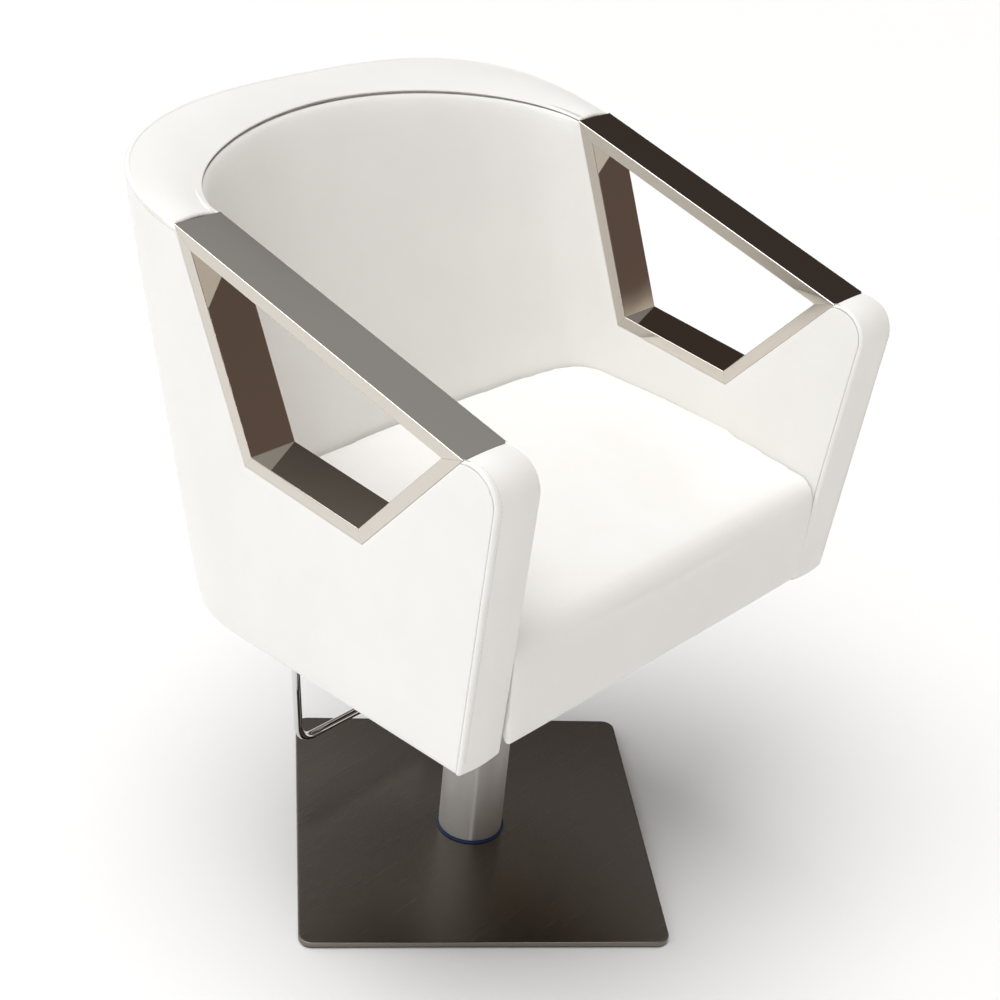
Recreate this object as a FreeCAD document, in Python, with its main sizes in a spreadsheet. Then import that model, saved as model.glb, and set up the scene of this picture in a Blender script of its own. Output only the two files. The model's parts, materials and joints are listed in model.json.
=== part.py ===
import FreeCAD, Part
"""Styling chair for a hair salon: square base, oil pump, tub seat with steel arm frames.

Frame: millimetres, +Z up, the sitter faces -Y, the origin is on the column's axis at the floor.
"""
import math
import os
import re

import Sketcher
from FreeCAD import Placement, Rotation, Vector

doc = FreeCAD.newDocument("styling_chair")
sheet = doc.addObject("Spreadsheet::Sheet", "sizes")

# ---------------------------------------------------------------- driving dimensions
SIZES = {
    # square floor plate and its stainless cover
    "plate_side": 440.0, "plate_corner": 16.0, "plate_turn": -41.37, "plate_low": 1.0,
    "plate_top": 7.8, "cover_low": 3.0, "cover_top": 9.0, "cover_wall": 1.2, "cover_gap": 0.1,
    "pad_radius": 20.0, "pad_height": 1.5, "pad_offset": 185.0, "centre_pad": 18.0,
    # column and swivel bearing
    "column_radius": 40.0, "column_bore": 37.0, "column_top": 332.0,
    "ring_radius": 43.0, "ring_height": 2.5,
    "plug_radius": 36.95, "plug_top": 40.0, "plug_pocket": 22.0, "plug_floor": 26.0,
    "race_radius": 21.0, "race_bore": 12.0, "race_height": 3.0, "ball_radius": 2.5,
    "ball_circle": 16.5, "bolt_circle": 28.5, "bolt_radius": 5.0, "bolt_head": 8.2,
    "bolt_head_height": 4.0, "bolt_top": 23.0,
    # piston rod and pump cylinder
    "spigot_radius": 10.0, "spigot_low": 12.0, "flange_top": 43.0, "rod_radius": 11.0,
    "rod_step": 305.0, "rod_end_radius": 8.0, "rod_top": 334.0, "piston_height": 18.0,
    "cylinder_bore": 25.0, "cylinder_radius": 33.0, "cylinder_low": 56.0, "head_low": 345.0,
    "gland_height": 20.0, "wear_height": 16.0, "bush_height": 27.0, "wiper_height": 4.0,
    "fit_gap": 0.05,
    # pump head, lever shaft and plunger
    "head_radius": 48.0, "head_top": 391.0, "block_half": 36.0, "block_back": 80.0,
    "block_top": 378.0, "shaft_y": 58.0, "shaft_z": 357.0, "shaft_radius": 8.0,
    "shaft_half": 132.0, "lever_bush_radius": 11.0, "lever_bush_length": 12.0,
    "cam_throw": 28.0, "cam_radius": 13.0, "cam_nose": 6.0, "cam_half": 7.0,
    "plunger_radius": 7.0, "plunger_length": 19.0,
    # pump lever
    "lever_half": 120.0, "lever_rod": 5.5, "lever_bend": 22.0, "lever_back": 226.0,
    "pedal_y": 195.0, "pedal_z": 83.0, "hub_radius": 15.0, "hub_length": 18.0,
    # seat board and its fastenings
    "mount_side": 220.0, "mount_height": 6.0, "board_height": 12.0, "seat_bolt_pitch": 180.0,
    "seat_bolt_radius": 4.0, "screw_circle": 34.0,
    # tub: widths at the reference height, draft and plan curves
    "tub_half": 327.1, "tub_draft": 0.0316, "tub_splay": 0.0171, "tub_reference": 528.0,
    "tub_low": 385.0, "tub_high": 860.0, "wall": 60.0, "skin": 16.0, "core": 14.0,
    "outer_power": 2.76, "outer_low_y": 79.0, "outer_low_depth": 172.0, "outer_high_y": 184.0,
    "outer_high_depth": 185.0, "inner_low_z": 530.0, "inner_low_y": 60.0,
    "inner_low_depth": 85.0, "inner_high_y": 184.0, "inner_high_depth": 140.0,
    "inner_low_power": 3.6, "inner_high_power": 2.0,
    "rim_y": 173.5, "rim_z": 833.4, "rim_slope": 0.169, "rim_curve": 0.00043,
    "band_depth": 9.0, "strip_depth": 8.0, "back_end": 400.0,
    # arm frames: corners of the side view, bar thickness
    "arm_back_y": 173.5, "arm_back_z": 833.4, "arm_front_y": -222.9, "arm_front_z": 731.7,
    "arm_toe_y": -100.8, "arm_toe_z": 587.7, "arm_heel_y": 69.4, "arm_heel_z": 603.2,
    "arm_bar": 14.5, "arm_sheet": 2.0, "arm_gap": 0.3,
    # seat cushion
    "cushion_front": -255.0, "cushion_low": 392.0, "cushion_edge": 527.0, "cushion_crown": 543.0,
    "cushion_nose": 34.0, "cushion_gap": 1.0,
}
for row, (alias, value) in enumerate(SIZES.items(), start=1):
    sheet.set(f"A{row}", alias)
    sheet.set(f"B{row}", repr(value))
    sheet.setAlias(f"B{row}", alias)
doc.recompute()


def size(rule):
    """The number that an expression over the sheet's aliases gives."""
    return float(sheet.evalExpression(rule))


def tied(rule):
    """The same rule with each alias led by the sheet's name, for use outside the sheet."""
    return re.sub(r"[a-z_]+", lambda word: "sizes." + word[0] if word[0] in SIZES else word[0], rule)


def bind(item, rules):
    """Tie properties of an object to rules over the sheet."""
    for name, rule in rules.items():
        item.setExpression(name, tied(rule))
    return item


def named(item, label):
    """Give a finished sub-part its label, which names its file."""
    item.Label = label
    return item


# ---------------------------------------------------------------- PartDesign helpers
def new_body(label):
    """An empty PartDesign body for one sub-part."""
    body = doc.addObject("PartDesign::Body", label + "_body")
    body.Label = label
    return body


def origin_plane(body, role):
    """One of the body's own origin planes, such as XY_Plane."""
    for feature in body.Origin.OriginFeatures:
        if feature.Role == role:
            return feature
    raise ValueError(role)


def new_sketch(body, name, role="XY_Plane", lift="0"):
    """A sketch on one of the body's origin planes, moved along its normal by a rule."""
    sketch = body.newObject("Sketcher::SketchObject", name)
    sketch.AttachmentSupport = [(origin_plane(body, role), "")]
    sketch.MapMode = "FlatFace"
    bind(sketch, {"AttachmentOffset.Base.z": lift})
    return sketch


def add_outline(sketch, corners):
    """A closed polygon whose every corner is held by two rules, x and y, from the origin."""
    points = [Vector(size(x_rule), size(y_rule), 0) for x_rule, y_rule in corners]
    first = sketch.GeometryCount
    count = len(points)
    for index, point in enumerate(points):
        sketch.addGeometry(Part.LineSegment(point, points[(index + 1) % count]), False)
    for index in range(count):
        after = first + (index + 1) % count
        sketch.addConstraint(Sketcher.Constraint("Coincident", first + index, 2, after, 1))
    for index, (x_rule, y_rule) in enumerate(corners):
        for kind, rule in (("DistanceX", x_rule), ("DistanceY", y_rule)):
            held = Sketcher.Constraint(kind, -1, 1, first + index, 1, size(rule))
            number = sketch.addConstraint(held)
            label = f"corner_{kind[-1].lower()}_{first + index}"
            sketch.renameConstraint(number, label)
            bind(sketch, {f"Constraints.{label}": rule})


def add_circle(sketch, radius_rule, x_rule="0", y_rule="0"):
    """A circle whose radius and centre are held by rules."""
    centre = Vector(size(x_rule), size(y_rule), 0)
    index = sketch.addGeometry(Part.Circle(centre, Vector(0, 0, 1), size(radius_rule)), False)
    held = [("Radius", Sketcher.Constraint("Radius", index, size(radius_rule)), radius_rule),
            ("x", Sketcher.Constraint("DistanceX", -1, 1, index, 3, centre.x), x_rule),
            ("y", Sketcher.Constraint("DistanceY", -1, 1, index, 3, centre.y), y_rule)]
    for word, constraint, rule in held:
        number = sketch.addConstraint(constraint)
        sketch.renameConstraint(number, f"circle_{word}_{index}")
        bind(sketch, {f"Constraints.circle_{word}_{index}": rule})


def add_pad(body, sketch, rule, reverse=False):
    """Pad a sketch by a length rule."""
    pad = body.newObject("PartDesign::Pad", sketch.Name + "_pad")
    pad.Profile = sketch
    pad.Reversed = reverse
    bind(pad, {"Length": rule})
    return pad


def add_pocket(body, sketch, rule, reverse=True):
    """Cut a sketch into the body along its normal and see that it took something away."""
    doc.recompute()
    before = body.Shape.Volume
    pocket = body.newObject("PartDesign::Pocket", sketch.Name + "_pocket")
    pocket.Profile = sketch
    pocket.Reversed = reverse
    bind(pocket, {"Length": rule})
    doc.recompute()
    if body.Shape.Volume >= before - 1e-6:
        raise RuntimeError(f"{sketch.Name} cuts nothing")
    return pocket


def polar(body, feature, count):
    """Repeat a feature round the body's Z axis."""
    pattern = body.newObject("PartDesign::PolarPattern", feature.Name + "_polar")
    pattern.Originals = [feature]
    axis = next(item for item in body.Origin.OriginFeatures if item.Role == "Z_Axis")
    pattern.Axis = (axis, [""])
    pattern.Angle = 360
    pattern.Occurrences = count
    body.Tip = pattern
    return pattern


def turned(label, corners):
    """A body revolved about Z from a profile of (radius, height) rules."""
    body = new_body(label)
    sketch = new_sketch(body, label + "_profile", "XZ_Plane")
    add_outline(sketch, corners)
    turn = body.newObject("PartDesign::Revolution", label + "_turn")
    turn.Profile = sketch
    turn.ReferenceAxis = (sketch, ["V_Axis"])
    turn.Angle = 360
    return body


def ring(label, inner, outer, low, high):
    """A plain turned ring between two radii and two heights."""
    return turned(label, [(inner, low), (outer, low), (outer, high), (inner, high)])


# ---------------------------------------------------------------- Part helpers
def cylinder(name, radius, length, centre, axis=Vector(0, 0, 1)):
    """A Part cylinder with bound radius and height; centre is its first end, as rules."""
    item = doc.addObject("Part::Cylinder", name)
    item.Placement = Placement(Vector(), Rotation(Vector(0, 0, 1), axis))
    places = {f"Placement.Base.{letter}": rule for letter, rule in zip("xyz", centre)}
    return bind(item, {"Radius": radius, "Height": length, **places})


def block(name, sides, corner):
    """A Part box with bound sides and corner, as rules."""
    item = doc.addObject("Part::Box", name)
    places = {f"Placement.Base.{letter}": rule for letter, rule in zip("xyz", corner)}
    return bind(item, {"Length": sides[0], "Width": sides[1], "Height": sides[2], **places})


def cut(name, base, tool):
    """A Part cut of two objects."""
    item = doc.addObject("Part::Cut", name)
    item.Base = base
    item.Tool = tool
    return item


def fuse(name, items):
    """A Part fusion of several objects."""
    item = doc.addObject("Part::MultiFuse", name)
    item.Shapes = items
    return item


def feature(label, shape):
    """A sub-part whose shape is worked out with Part's own functions."""
    item = doc.addObject("Part::Feature", label)
    item.Shape = shape
    item.Placement = Placement()
    return named(item, label)


def group(label, shapes):
    """Identical separate solids that share one node."""
    return feature(label, Part.makeCompound(shapes))



def round_uprights(body, base, rule, half_rule):
    """Fillet the vertical edges at the corners of a square of the given half side."""
    doc.recompute()
    half = size(half_rule)
    names = []
    for index, edge in enumerate(base.Shape.Edges, start=1):
        low, high = edge.Vertexes[0].Point, edge.Vertexes[-1].Point
        upright = math.hypot(high.x - low.x, high.y - low.y) < 1e-6 and abs(high.z - low.z) > 1e-6
        at_corner = abs(abs(low.x) - half) < 1e-3 and abs(abs(low.y) - half) < 1e-3
        if upright and at_corner:
            names.append(f"Edge{index}")
    fillet = body.newObject("PartDesign::Fillet", base.Name + "_round")
    fillet.Base = (base, names)
    return bind(fillet, {"Radius": rule})


def square(half):
    """Corner rules of a square of the given half side."""
    return [(f"-({half})", f"-({half})"), (half, f"-({half})"), (half, half), (f"-({half})", half)]


# ---------------------------------------------------------------- floor plate
def make_base_plate():
    """Steel plate with a bore for the column bolts and shallow seats for the rubber pads."""
    inset = "(plate_side / 2 - cover_wall - cover_gap)"
    body = new_body("base_plate")
    outline = new_sketch(body, "plate_outline", lift="plate_low")
    add_outline(outline, square(inset))
    pad = add_pad(body, outline, "plate_top - plate_low")
    round_uprights(body, pad, "plate_corner - cover_wall - cover_gap", inset)
    for name, radius, depth in (("plate_hole", "bolt_radius + 0.3", "plate_top"),
                                ("plate_counterbore", "bolt_head + 0.3", "bolt_head_height + 0.4")):
        sketch = new_sketch(body, name, lift="plate_low")
        add_circle(sketch, radius, "bolt_circle", "0")
        polar(body, add_pocket(body, sketch, depth), 4)
    for index, (side_x, side_y) in enumerate(((1, 1), (1, -1), (-1, -1), (-1, 1))):
        sketch = new_sketch(body, f"pad_seat_{index}", lift="plate_low")
        add_circle(sketch, "pad_radius + 0.2", f"{side_x} * pad_offset", f"{side_y} * pad_offset")
        add_pocket(body, sketch, "pad_height - plate_low")
    centre = new_sketch(body, "pad_seat_centre", lift="plate_low")
    add_circle(centre, "centre_pad + 0.2")
    add_pocket(body, centre, "pad_height - plate_low")
    body.Placement = Placement(Vector(), Rotation(Vector(0, 0, 1), size("plate_turn")))


def make_plate_cover():
    """Folded stainless cover that caps the steel plate, with the column's hole."""
    body = new_body("base_plate_cover")
    outline = new_sketch(body, "cover_outline", lift="cover_low")
    add_outline(outline, square("plate_side / 2"))
    add_pad(body, outline, "cover_top - cover_low")
    inner = new_sketch(body, "cover_inside", lift="cover_low")
    add_outline(inner, square("(plate_side / 2 - cover_wall)"))
    pocket = add_pocket(body, inner, "plate_top - cover_low")
    inner_round = round_uprights(body, pocket, "plate_corner - cover_wall",
                                 "plate_side / 2 - cover_wall")
    round_uprights(body, inner_round, "plate_corner", "plate_side / 2")
    hole = new_sketch(body, "cover_hole", lift="cover_low")
    add_circle(hole, "column_bore + 0.3")
    add_pocket(body, hole, "cover_top")
    body.Placement = Placement(Vector(), Rotation(Vector(0, 0, 1), size("plate_turn")))


def make_foot_pads():
    """Rubber pads under the plate's corners and its middle."""
    spin = Rotation(Vector(0, 0, 1), size("plate_turn"))
    offset = size("pad_offset")
    pads = [Part.makeCylinder(size("centre_pad"), size("pad_height"))]
    for side_x in (-1, 1):
        for side_y in (-1, 1):
            centre = spin.multVec(Vector(side_x * offset, side_y * offset, 0))
            pads.append(Part.makeCylinder(size("pad_radius"), size("pad_height"), centre))
    group("foot_pads", pads)


# ---------------------------------------------------------------- column and bearing
def make_column():
    """Chrome column tube, its foot ring, foot plug, top bush and wiper."""
    turned("column_tube", [("column_bore", "cover_top"), ("column_radius", "cover_top"),
                           ("column_radius", "column_top - 2"), ("column_radius - 2", "column_top"),
                           ("column_bore", "column_top")])
    turned("foot_ring", [("column_radius + 0.1", "cover_top"), ("ring_radius", "cover_top"),
                         ("ring_radius", "cover_top + ring_height - 1"),
                         ("ring_radius - 1", "cover_top + ring_height"),
                         ("column_radius + 0.1", "cover_top + ring_height")])
    plug = turned("column_plug", [("spigot_radius + fit_gap", "plate_top"),
                                  ("plug_radius", "plate_top"), ("plug_radius", "plug_top"),
                                  ("plug_pocket", "plug_top"), ("plug_pocket", "plug_floor"),
                                  ("spigot_radius + fit_gap", "plug_floor")])
    hole = new_sketch(plug, "plug_hole", lift="plate_top")
    add_circle(hole, "bolt_radius", "bolt_circle", "0")
    polar(plug, add_pocket(plug, hole, "bolt_top - plate_top + 1"), 4)
    plug.Placement = Placement(Vector(), Rotation(Vector(0, 0, 1), size("plate_turn")))
    ring("guide_bush", "cylinder_radius + fit_gap", "column_bore",
         "column_top - 2 - bush_height", "column_top - 2")
    turned("column_wiper", [("cylinder_radius + fit_gap", "column_top"),
                            ("column_radius - 2", "column_top"),
                            ("column_radius - 3", "column_top + wiper_height"),
                            ("cylinder_radius + fit_gap", "column_top + wiper_height")])


def make_base_bolts():
    """Four low-head bolts from under the plate into the column's foot plug."""
    bolts = []
    for index in range(4):
        angle = math.radians(size("plate_turn") + 90 * index)
        reach = size("bolt_circle")
        foot = Vector(reach * math.cos(angle), reach * math.sin(angle), size("plate_low") + 0.3)
        head = Part.makeCylinder(size("bolt_head"), size("bolt_head_height"), foot)
        shank = Part.makeCylinder(size("bolt_radius"), size("bolt_top") - foot.z, foot)
        socket = Part.makeCylinder(size("bolt_radius") / 2, size("bolt_head_height") / 2, foot)
        bolts.append(head.fuse(shank).cut(socket))
    group("base_bolts", bolts)


def make_bearing():
    """Thrust bearing under the piston rod: lower race, ball set and upper race."""
    ring("lower_race", "race_bore", "race_radius", "plug_floor", "plug_floor + race_height")
    ring("upper_race", "race_bore", "race_radius", "flange_top - 6 - race_height", "flange_top - 6")
    height = size("plug_floor + race_height + ball_radius")
    circle = size("ball_circle")
    balls = []
    for index in range(16):
        angle = 2 * math.pi * index / 16
        centre = Vector(circle * math.cos(angle), circle * math.sin(angle), height)
        balls.append(Part.makeSphere(size("ball_radius") - 0.02, centre))
    group("bearing_balls", balls)


# ---------------------------------------------------------------- piston rod and pump cylinder
def make_rod():
    """Piston rod with its foot spigot, thrust flange and stepped end, plus piston, seal and nut."""
    turned("piston_rod", [("0", "spigot_low"), ("spigot_radius", "spigot_low"),
                          ("spigot_radius", "flange_top - 6"), ("race_radius", "flange_top - 6"),
                          ("race_radius", "flange_top"), ("rod_radius", "flange_top"),
                          ("rod_radius", "rod_step"), ("rod_end_radius", "rod_step"),
                          ("rod_end_radius", "rod_top"), ("0", "rod_top")])
    turned("piston_head", [("rod_end_radius", "rod_step"), ("cylinder_bore - fit_gap", "rod_step"),
                           ("cylinder_bore - fit_gap", "rod_step + 6"),
                           ("cylinder_bore - 4", "rod_step + 6"), ("cylinder_bore - 4", "rod_step + 12"),
                           ("cylinder_bore - fit_gap", "rod_step + 12"),
                           ("cylinder_bore - fit_gap", "rod_step + piston_height"),
                           ("rod_end_radius", "rod_step + piston_height")])
    ring("piston_seal", "cylinder_bore - 4", "cylinder_bore - fit_gap", "rod_step + 6", "rod_step + 12")
    body = new_body("piston_nut")
    outline = new_sketch(body, "nut_outline", lift="rod_step + piston_height")
    reach = 13.5
    corners = []
    for index in range(6):
        angle = math.radians(60 * index)
        corners.append((repr(round(reach * math.cos(angle), 4)), repr(round(reach * math.sin(angle), 4))))
    add_outline(outline, corners)
    add_pad(body, outline, "8")
    hole = new_sketch(body, "nut_hole", lift="rod_step + piston_height")
    add_circle(hole, "rod_end_radius")
    add_pocket(body, hole, "8")


def make_cylinder():
    """Pump cylinder with its rod gland and the wear ring that runs in the column."""
    ring("pump_cylinder", "cylinder_bore", "cylinder_radius", "cylinder_low", "head_low")
    ring("rod_gland", "rod_radius + fit_gap", "cylinder_bore", "cylinder_low + 2",
         "cylinder_low + 2 + gland_height")
    ring("cylinder_wear_ring", "cylinder_radius", "column_bore - fit_gap", "cylinder_low",
         "cylinder_low + wear_height")


def make_pump_head():
    """Cast pump head: round top, rear block with the lever's bores and the plunger's bore."""
    round_top = cylinder("head_round", "head_radius", "head_top - head_low", ("0", "0", "head_low"))
    rear = block("head_block", ("2 * block_half", "block_back", "block_top - head_low"),
                 ("-block_half", "0", "head_low"))
    cavity = block("head_cavity", ("2 * cam_half + 10", "54", "shaft_z + cam_radius + 3 - head_low + 2"),
                   ("-cam_half - 5", "22", "head_low - 2"))
    bores = cylinder("head_bores", "lever_bush_radius", "2 * block_half + 2",
                     ("-block_half - 1", "shaft_y", "shaft_z"), Vector(1, 0, 0))
    plunger = cylinder("head_plunger_bore", "plunger_radius + fit_gap", "head_top - 2 - shaft_z",
                       ("0", "shaft_y - cam_throw", "shaft_z"))
    screws = []
    for index in range(4):
        angle = f"{45 + 90 * index}"
        screws.append(cylinder(f"head_tapping_{index}", "4", "22",
                               (f"screw_circle * cos({angle} deg)", f"screw_circle * sin({angle} deg)",
                                "head_top - 22")))
    named(cut("pump_head", fuse("head_solid", [round_top, rear]),
              fuse("head_tools", [cavity, bores, plunger] + screws)), "pump_head")
    named(cylinder("oil_plug", "6", "5", ("0", "-head_radius", "head_low + 22"), Vector(0, -1, 0)),
          "oil_plug")


# ---------------------------------------------------------------- pump lever
def along_x(radius, length, start, y, z):
    """A solid cylinder along +X."""
    return Part.makeCylinder(radius, length, Vector(start, y, z), Vector(1, 0, 0))


def make_lever():
    """Cross shaft, cam, clamped hubs, bent stirrup rod and the return spring."""
    y, z = size("shaft_y"), size("shaft_z")
    shaft = size("shaft_radius")
    named(cylinder("lever_shaft", "shaft_radius", "2 * shaft_half", ("-shaft_half", "shaft_y", "shaft_z"),
                   Vector(1, 0, 0)), "lever_shaft")
    bush, length = size("lever_bush_radius"), size("lever_bush_length")
    edge = size("block_half")
    bushes = []
    for start in (-edge, edge - length):
        outer = along_x(bush, length, start, y, z)
        bushes.append(outer.cut(along_x(shaft + size("fit_gap"), length, start, y, z)))
    group("lever_bushes", bushes)

    half, nose = size("cam_half"), size("cam_nose")
    tip = y - size("cam_throw")
    boss = along_x(size("cam_radius"), 2 * half, -half, y, z)
    finger = along_x(nose, 2 * half, -half, tip, z - 2)
    arm = Part.makeBox(2 * half, y - tip, 2 * nose, Vector(-half, tip, z - 2 - nose))
    feature("lever_cam", boss.fuse(finger).fuse(arm).cut(along_x(shaft, 2 * half, -half, y, z)))

    reach, rod, bend = size("lever_half"), size("lever_rod"), size("lever_bend")
    hub, width = size("hub_radius"), size("hub_length")
    hubs, screws = [], []
    for side in (-1, 1):
        start = side * reach - width / 2
        socket = Part.makeCylinder(rod, 40, Vector(side * reach, y + 16, z), Vector(0, 1, 0))
        boss = Part.makeCylinder(rod + 3, 18, Vector(side * reach, y + 10, z), Vector(0, 1, 0))
        solid = along_x(hub, width, start, y, z).fuse(boss)
        screw = Part.makeCylinder(3, hub - shaft + 0.6, Vector(side * reach, y, z + shaft))
        tapping = Part.makeCylinder(3, hub, Vector(side * reach, y, z + shaft / 2))
        hubs.append(solid.cut(along_x(shaft, width, start, y, z)).cut(socket).cut(tapping))
        screws.append(screw)
    group("lever_hubs", hubs)
    group("lever_set_screws", screws)

    back, low_y, low_z = size("lever_back"), size("pedal_y"), size("pedal_z")
    corners = [Vector(-reach, y + 16, z), Vector(-reach, back, z), Vector(-reach, low_y, low_z),
               Vector(reach, low_y, low_z), Vector(reach, back, z), Vector(reach, y + 16, z)]
    feature("lever_rod", bent_rod(corners, rod, bend))

    turns, wire, coil = 4, 1.25, 10.5
    start = edge + 6
    helix = Part.makeHelix(4 * wire, turns * 4 * wire, coil)
    section = Part.Wire(Part.makeCircle(wire, Vector(coil, 0, 0), Vector(0, 1, 0)))
    spring = Part.Wire(helix).makePipeShell([section], True, True)
    spring.rotate(Vector(), Vector(0, 1, 0), 90)
    spring.translate(Vector(start, y, z))
    group("lever_spring", [spring])
    named(cylinder("pump_plunger", "plunger_radius", "plunger_length",
                   ("0", "shaft_y - cam_throw", "shaft_z - 2 + cam_nose + 0.3")), "pump_plunger")


def bent_rod(corners, radius, bend):
    """A round rod along straight runs joined by tangent arcs of one bend radius."""
    edges = []
    start = corners[0]
    for before, corner, after in zip(corners, corners[1:], corners[2:]):
        back = (before - corner).normalize()
        ahead = (after - corner).normalize()
        half = back.getAngle(ahead) / 2
        leg = bend / math.tan(half)
        middle = (back + ahead).normalize()
        first = corner + back * leg
        last = corner + ahead * leg
        crown = corner + middle * (bend / math.sin(half) - bend)
        edges.append(Part.LineSegment(start, first).toShape())
        edges.append(Part.Arc(first, crown, last).toShape())
        start = last
    edges.append(Part.LineSegment(start, corners[-1]).toShape())
    spine = Part.Wire(edges)
    direction = (corners[1] - corners[0]).normalize()
    section = Part.Wire(Part.makeCircle(radius, corners[0], direction))
    return spine.makePipeShell([section], True, True)


# ---------------------------------------------------------------- seat board and fastenings
def make_seat_mount():
    """Square steel mount plate with its counterbored head screws and corner bolt holes."""
    body = new_body("seat_mount_plate")
    outline = new_sketch(body, "mount_outline", lift="head_top")
    add_outline(outline, square("mount_side / 2"))
    pad = add_pad(body, outline, "mount_height")
    round_uprights(body, pad, "12", "mount_side / 2")
    corner = new_sketch(body, "mount_hole", lift="head_top")
    pitch = "seat_bolt_pitch / 2"
    add_circle(corner, "seat_bolt_radius + 0.5", pitch, pitch)
    polar(body, add_pocket(body, corner, "mount_height"), 4)
    turn = 45
    reach_x = f"screw_circle * cos({turn} deg)"
    reach_y = f"screw_circle * sin({turn} deg)"
    for name, radius, depth, lift in (("mount_bore", "4.2", "mount_height", "head_top"),
                                      ("mount_counterbore", "7.2", "3.6", "head_top + mount_height - 3.6")):
        sketch = new_sketch(body, name, lift=lift)
        add_circle(sketch, radius, reach_x, reach_y)
        polar(body, add_pocket(body, sketch, depth), 4)


def ring_of(count, radius, turn, solid):
    """Copies of a solid round the column axis."""
    copies = []
    for index in range(count):
        angle = math.radians(turn + 360 * index / count)
        copy = solid.copy()
        copy.translate(Vector(radius * math.cos(angle), radius * math.sin(angle), 0))
        copies.append(copy)
    return copies


def make_fasteners():
    """Head screws, seat bolts with washers and the tee nuts that take them."""
    top = size("head_top + mount_height")
    head = Part.makeCylinder(7, 3.4, Vector(0, 0, top - 3.5))
    socket = Part.makeCylinder(2.5, 2, Vector(0, 0, top - 2.1))
    shank = Part.makeCylinder(4, 24, Vector(0, 0, top - 27))
    screw = head.fuse(shank).cut(socket)
    group("head_screws", ring_of(4, size("screw_circle"), 45, screw))

    low = size("head_top")
    board = top + size("board_height")
    radius = size("seat_bolt_radius")
    pitch = size("seat_bolt_pitch") / math.sqrt(2)
    washer = Part.makeCylinder(9, 1.6, Vector(0, 0, low - 1.6))
    washer = washer.cut(Part.makeCylinder(radius + 0.3, 1.6, Vector(0, 0, low - 1.6)))
    group("seat_washers", ring_of(4, pitch, 45, washer))
    points = [Vector(7.5 * math.cos(math.radians(60 * i)), 7.5 * math.sin(math.radians(60 * i)), low - 6.9)
              for i in range(7)]
    hexagon = Part.Face(Part.makePolygon(points)).extrude(Vector(0, 0, 5.3))
    bolt = hexagon.fuse(Part.makeCylinder(radius, board - low + 1.6, Vector(0, 0, low - 1.7)))
    group("seat_bolts", ring_of(4, pitch, 45, bolt))
    nut = Part.makeCylinder(5.5, 9.9, Vector(0, 0, board - 9.9))
    nut = nut.fuse(Part.makeCylinder(11, 1.5, Vector(0, 0, board - 1.5)))
    nut = nut.cut(Part.makeCylinder(radius, 12, Vector(0, 0, board - 11)))
    group("tee_nuts", ring_of(4, pitch, 45, nut))


# ---------------------------------------------------------------- tub
def tub_half(y, z):
    """Half the width of the tub's outer face at a place."""
    return size("tub_half") + size("tub_splay") * y + size("tub_draft") * (z - size("tub_reference"))


def plan(z, start, depth, power, inset):
    """A closed plan curve at height z: straight sides, then a rounded back.

    start is the y where the back curve begins, depth its reach along +Y, power its squareness and
    inset how far it lies inside the tub's outer face.
    """
    front = -320.0
    half = tub_half(start, z) - inset
    steps = 24
    curve = []
    for index in range(steps + 1):
        angle = math.pi * index / steps
        across = math.copysign(abs(math.cos(angle)) ** (2 / power), math.cos(angle))
        along = abs(math.sin(angle)) ** (2 / power)
        curve.append(Vector(half * across, start + depth * along, z))
    spline = Part.BSplineCurve()
    spline.interpolate(curve, InitialTangent=Vector(0, 1, 0), FinalTangent=Vector(0, -1, 0))
    mouth = tub_half(front, z) - inset
    right, left = Vector(mouth, front, z), Vector(-mouth, front, z)
    edges = [Part.LineSegment(right, curve[0]).toShape(), spline.toShape(),
             Part.LineSegment(curve[-1], left).toShape(), Part.LineSegment(left, right).toShape()]
    return Part.Wire(edges)


def tub(inset):
    """The tub as a solid whose face lies inset inside the outer face."""
    wires = []
    for z in (size("tub_low") - 10, 900.0):
        share = (z - size("tub_low")) / (size("tub_high") - size("tub_low"))
        start = size("outer_low_y") + share * (size("outer_high_y") - size("outer_low_y"))
        depth = size("outer_low_depth") + share * (size("outer_high_depth") - size("outer_low_depth"))
        wires.append(plan(z, start, depth - inset, size("outer_power"), inset))
    return Part.makeLoft(wires, True, True)


def well():
    """The sitter's space inside the tub, from the seat board up."""
    low, high = size("inner_low_z"), 880.0
    wall = size("wall")
    wires = []
    for z in (size("tub_low") - 10, low, 900.0):
        share = max(0.0, (z - low) / (high - low))
        start = size("inner_low_y") + share * (size("inner_high_y") - size("inner_low_y"))
        depth = size("inner_low_depth") + share * (size("inner_high_depth") - size("inner_low_depth"))
        power = size("inner_low_power") + share * (size("inner_high_power") - size("inner_low_power"))
        wires.append(plan(z, start, depth, power, wall))
    return Part.makeLoft(wires, True, True)


def side_slab(edges):
    """A side view, as edges in the YZ plane, made a solid right through the chair."""
    reach = 420.0
    face = Part.Face(Part.Wire(edges))
    face.translate(Vector(-reach, 0, 0))
    return face.extrude(Vector(2 * reach, 0, 0))


def side_point(y, z):
    """A point of the side view."""
    return Vector(0, y, z)


def line(first, last):
    """A straight edge of the side view."""
    return Part.LineSegment(first, last).toShape()


def rim_edge(drop):
    """The rim's top line in the side view, lowered by drop, from the arm frame to the back."""
    points = []
    for index in range(7):
        y = size("rim_y") + index * (size("back_end") - size("rim_y")) / 6
        run = y - size("rim_y")
        z = size("rim_z") + size("rim_slope") * run + size("rim_curve") * run ** 2
        points.append(side_point(y, z - drop))
    spline = Part.BSplineCurve()
    spline.interpolate(points)
    return spline.toShape(), points[0], points[-1]


FRONT_LOW = (-244.5, 385.0)
FRONT_HIGH = (-267.5, 694.0)
FRONT_SHOULDER = (-257.5, 720.5)


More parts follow.
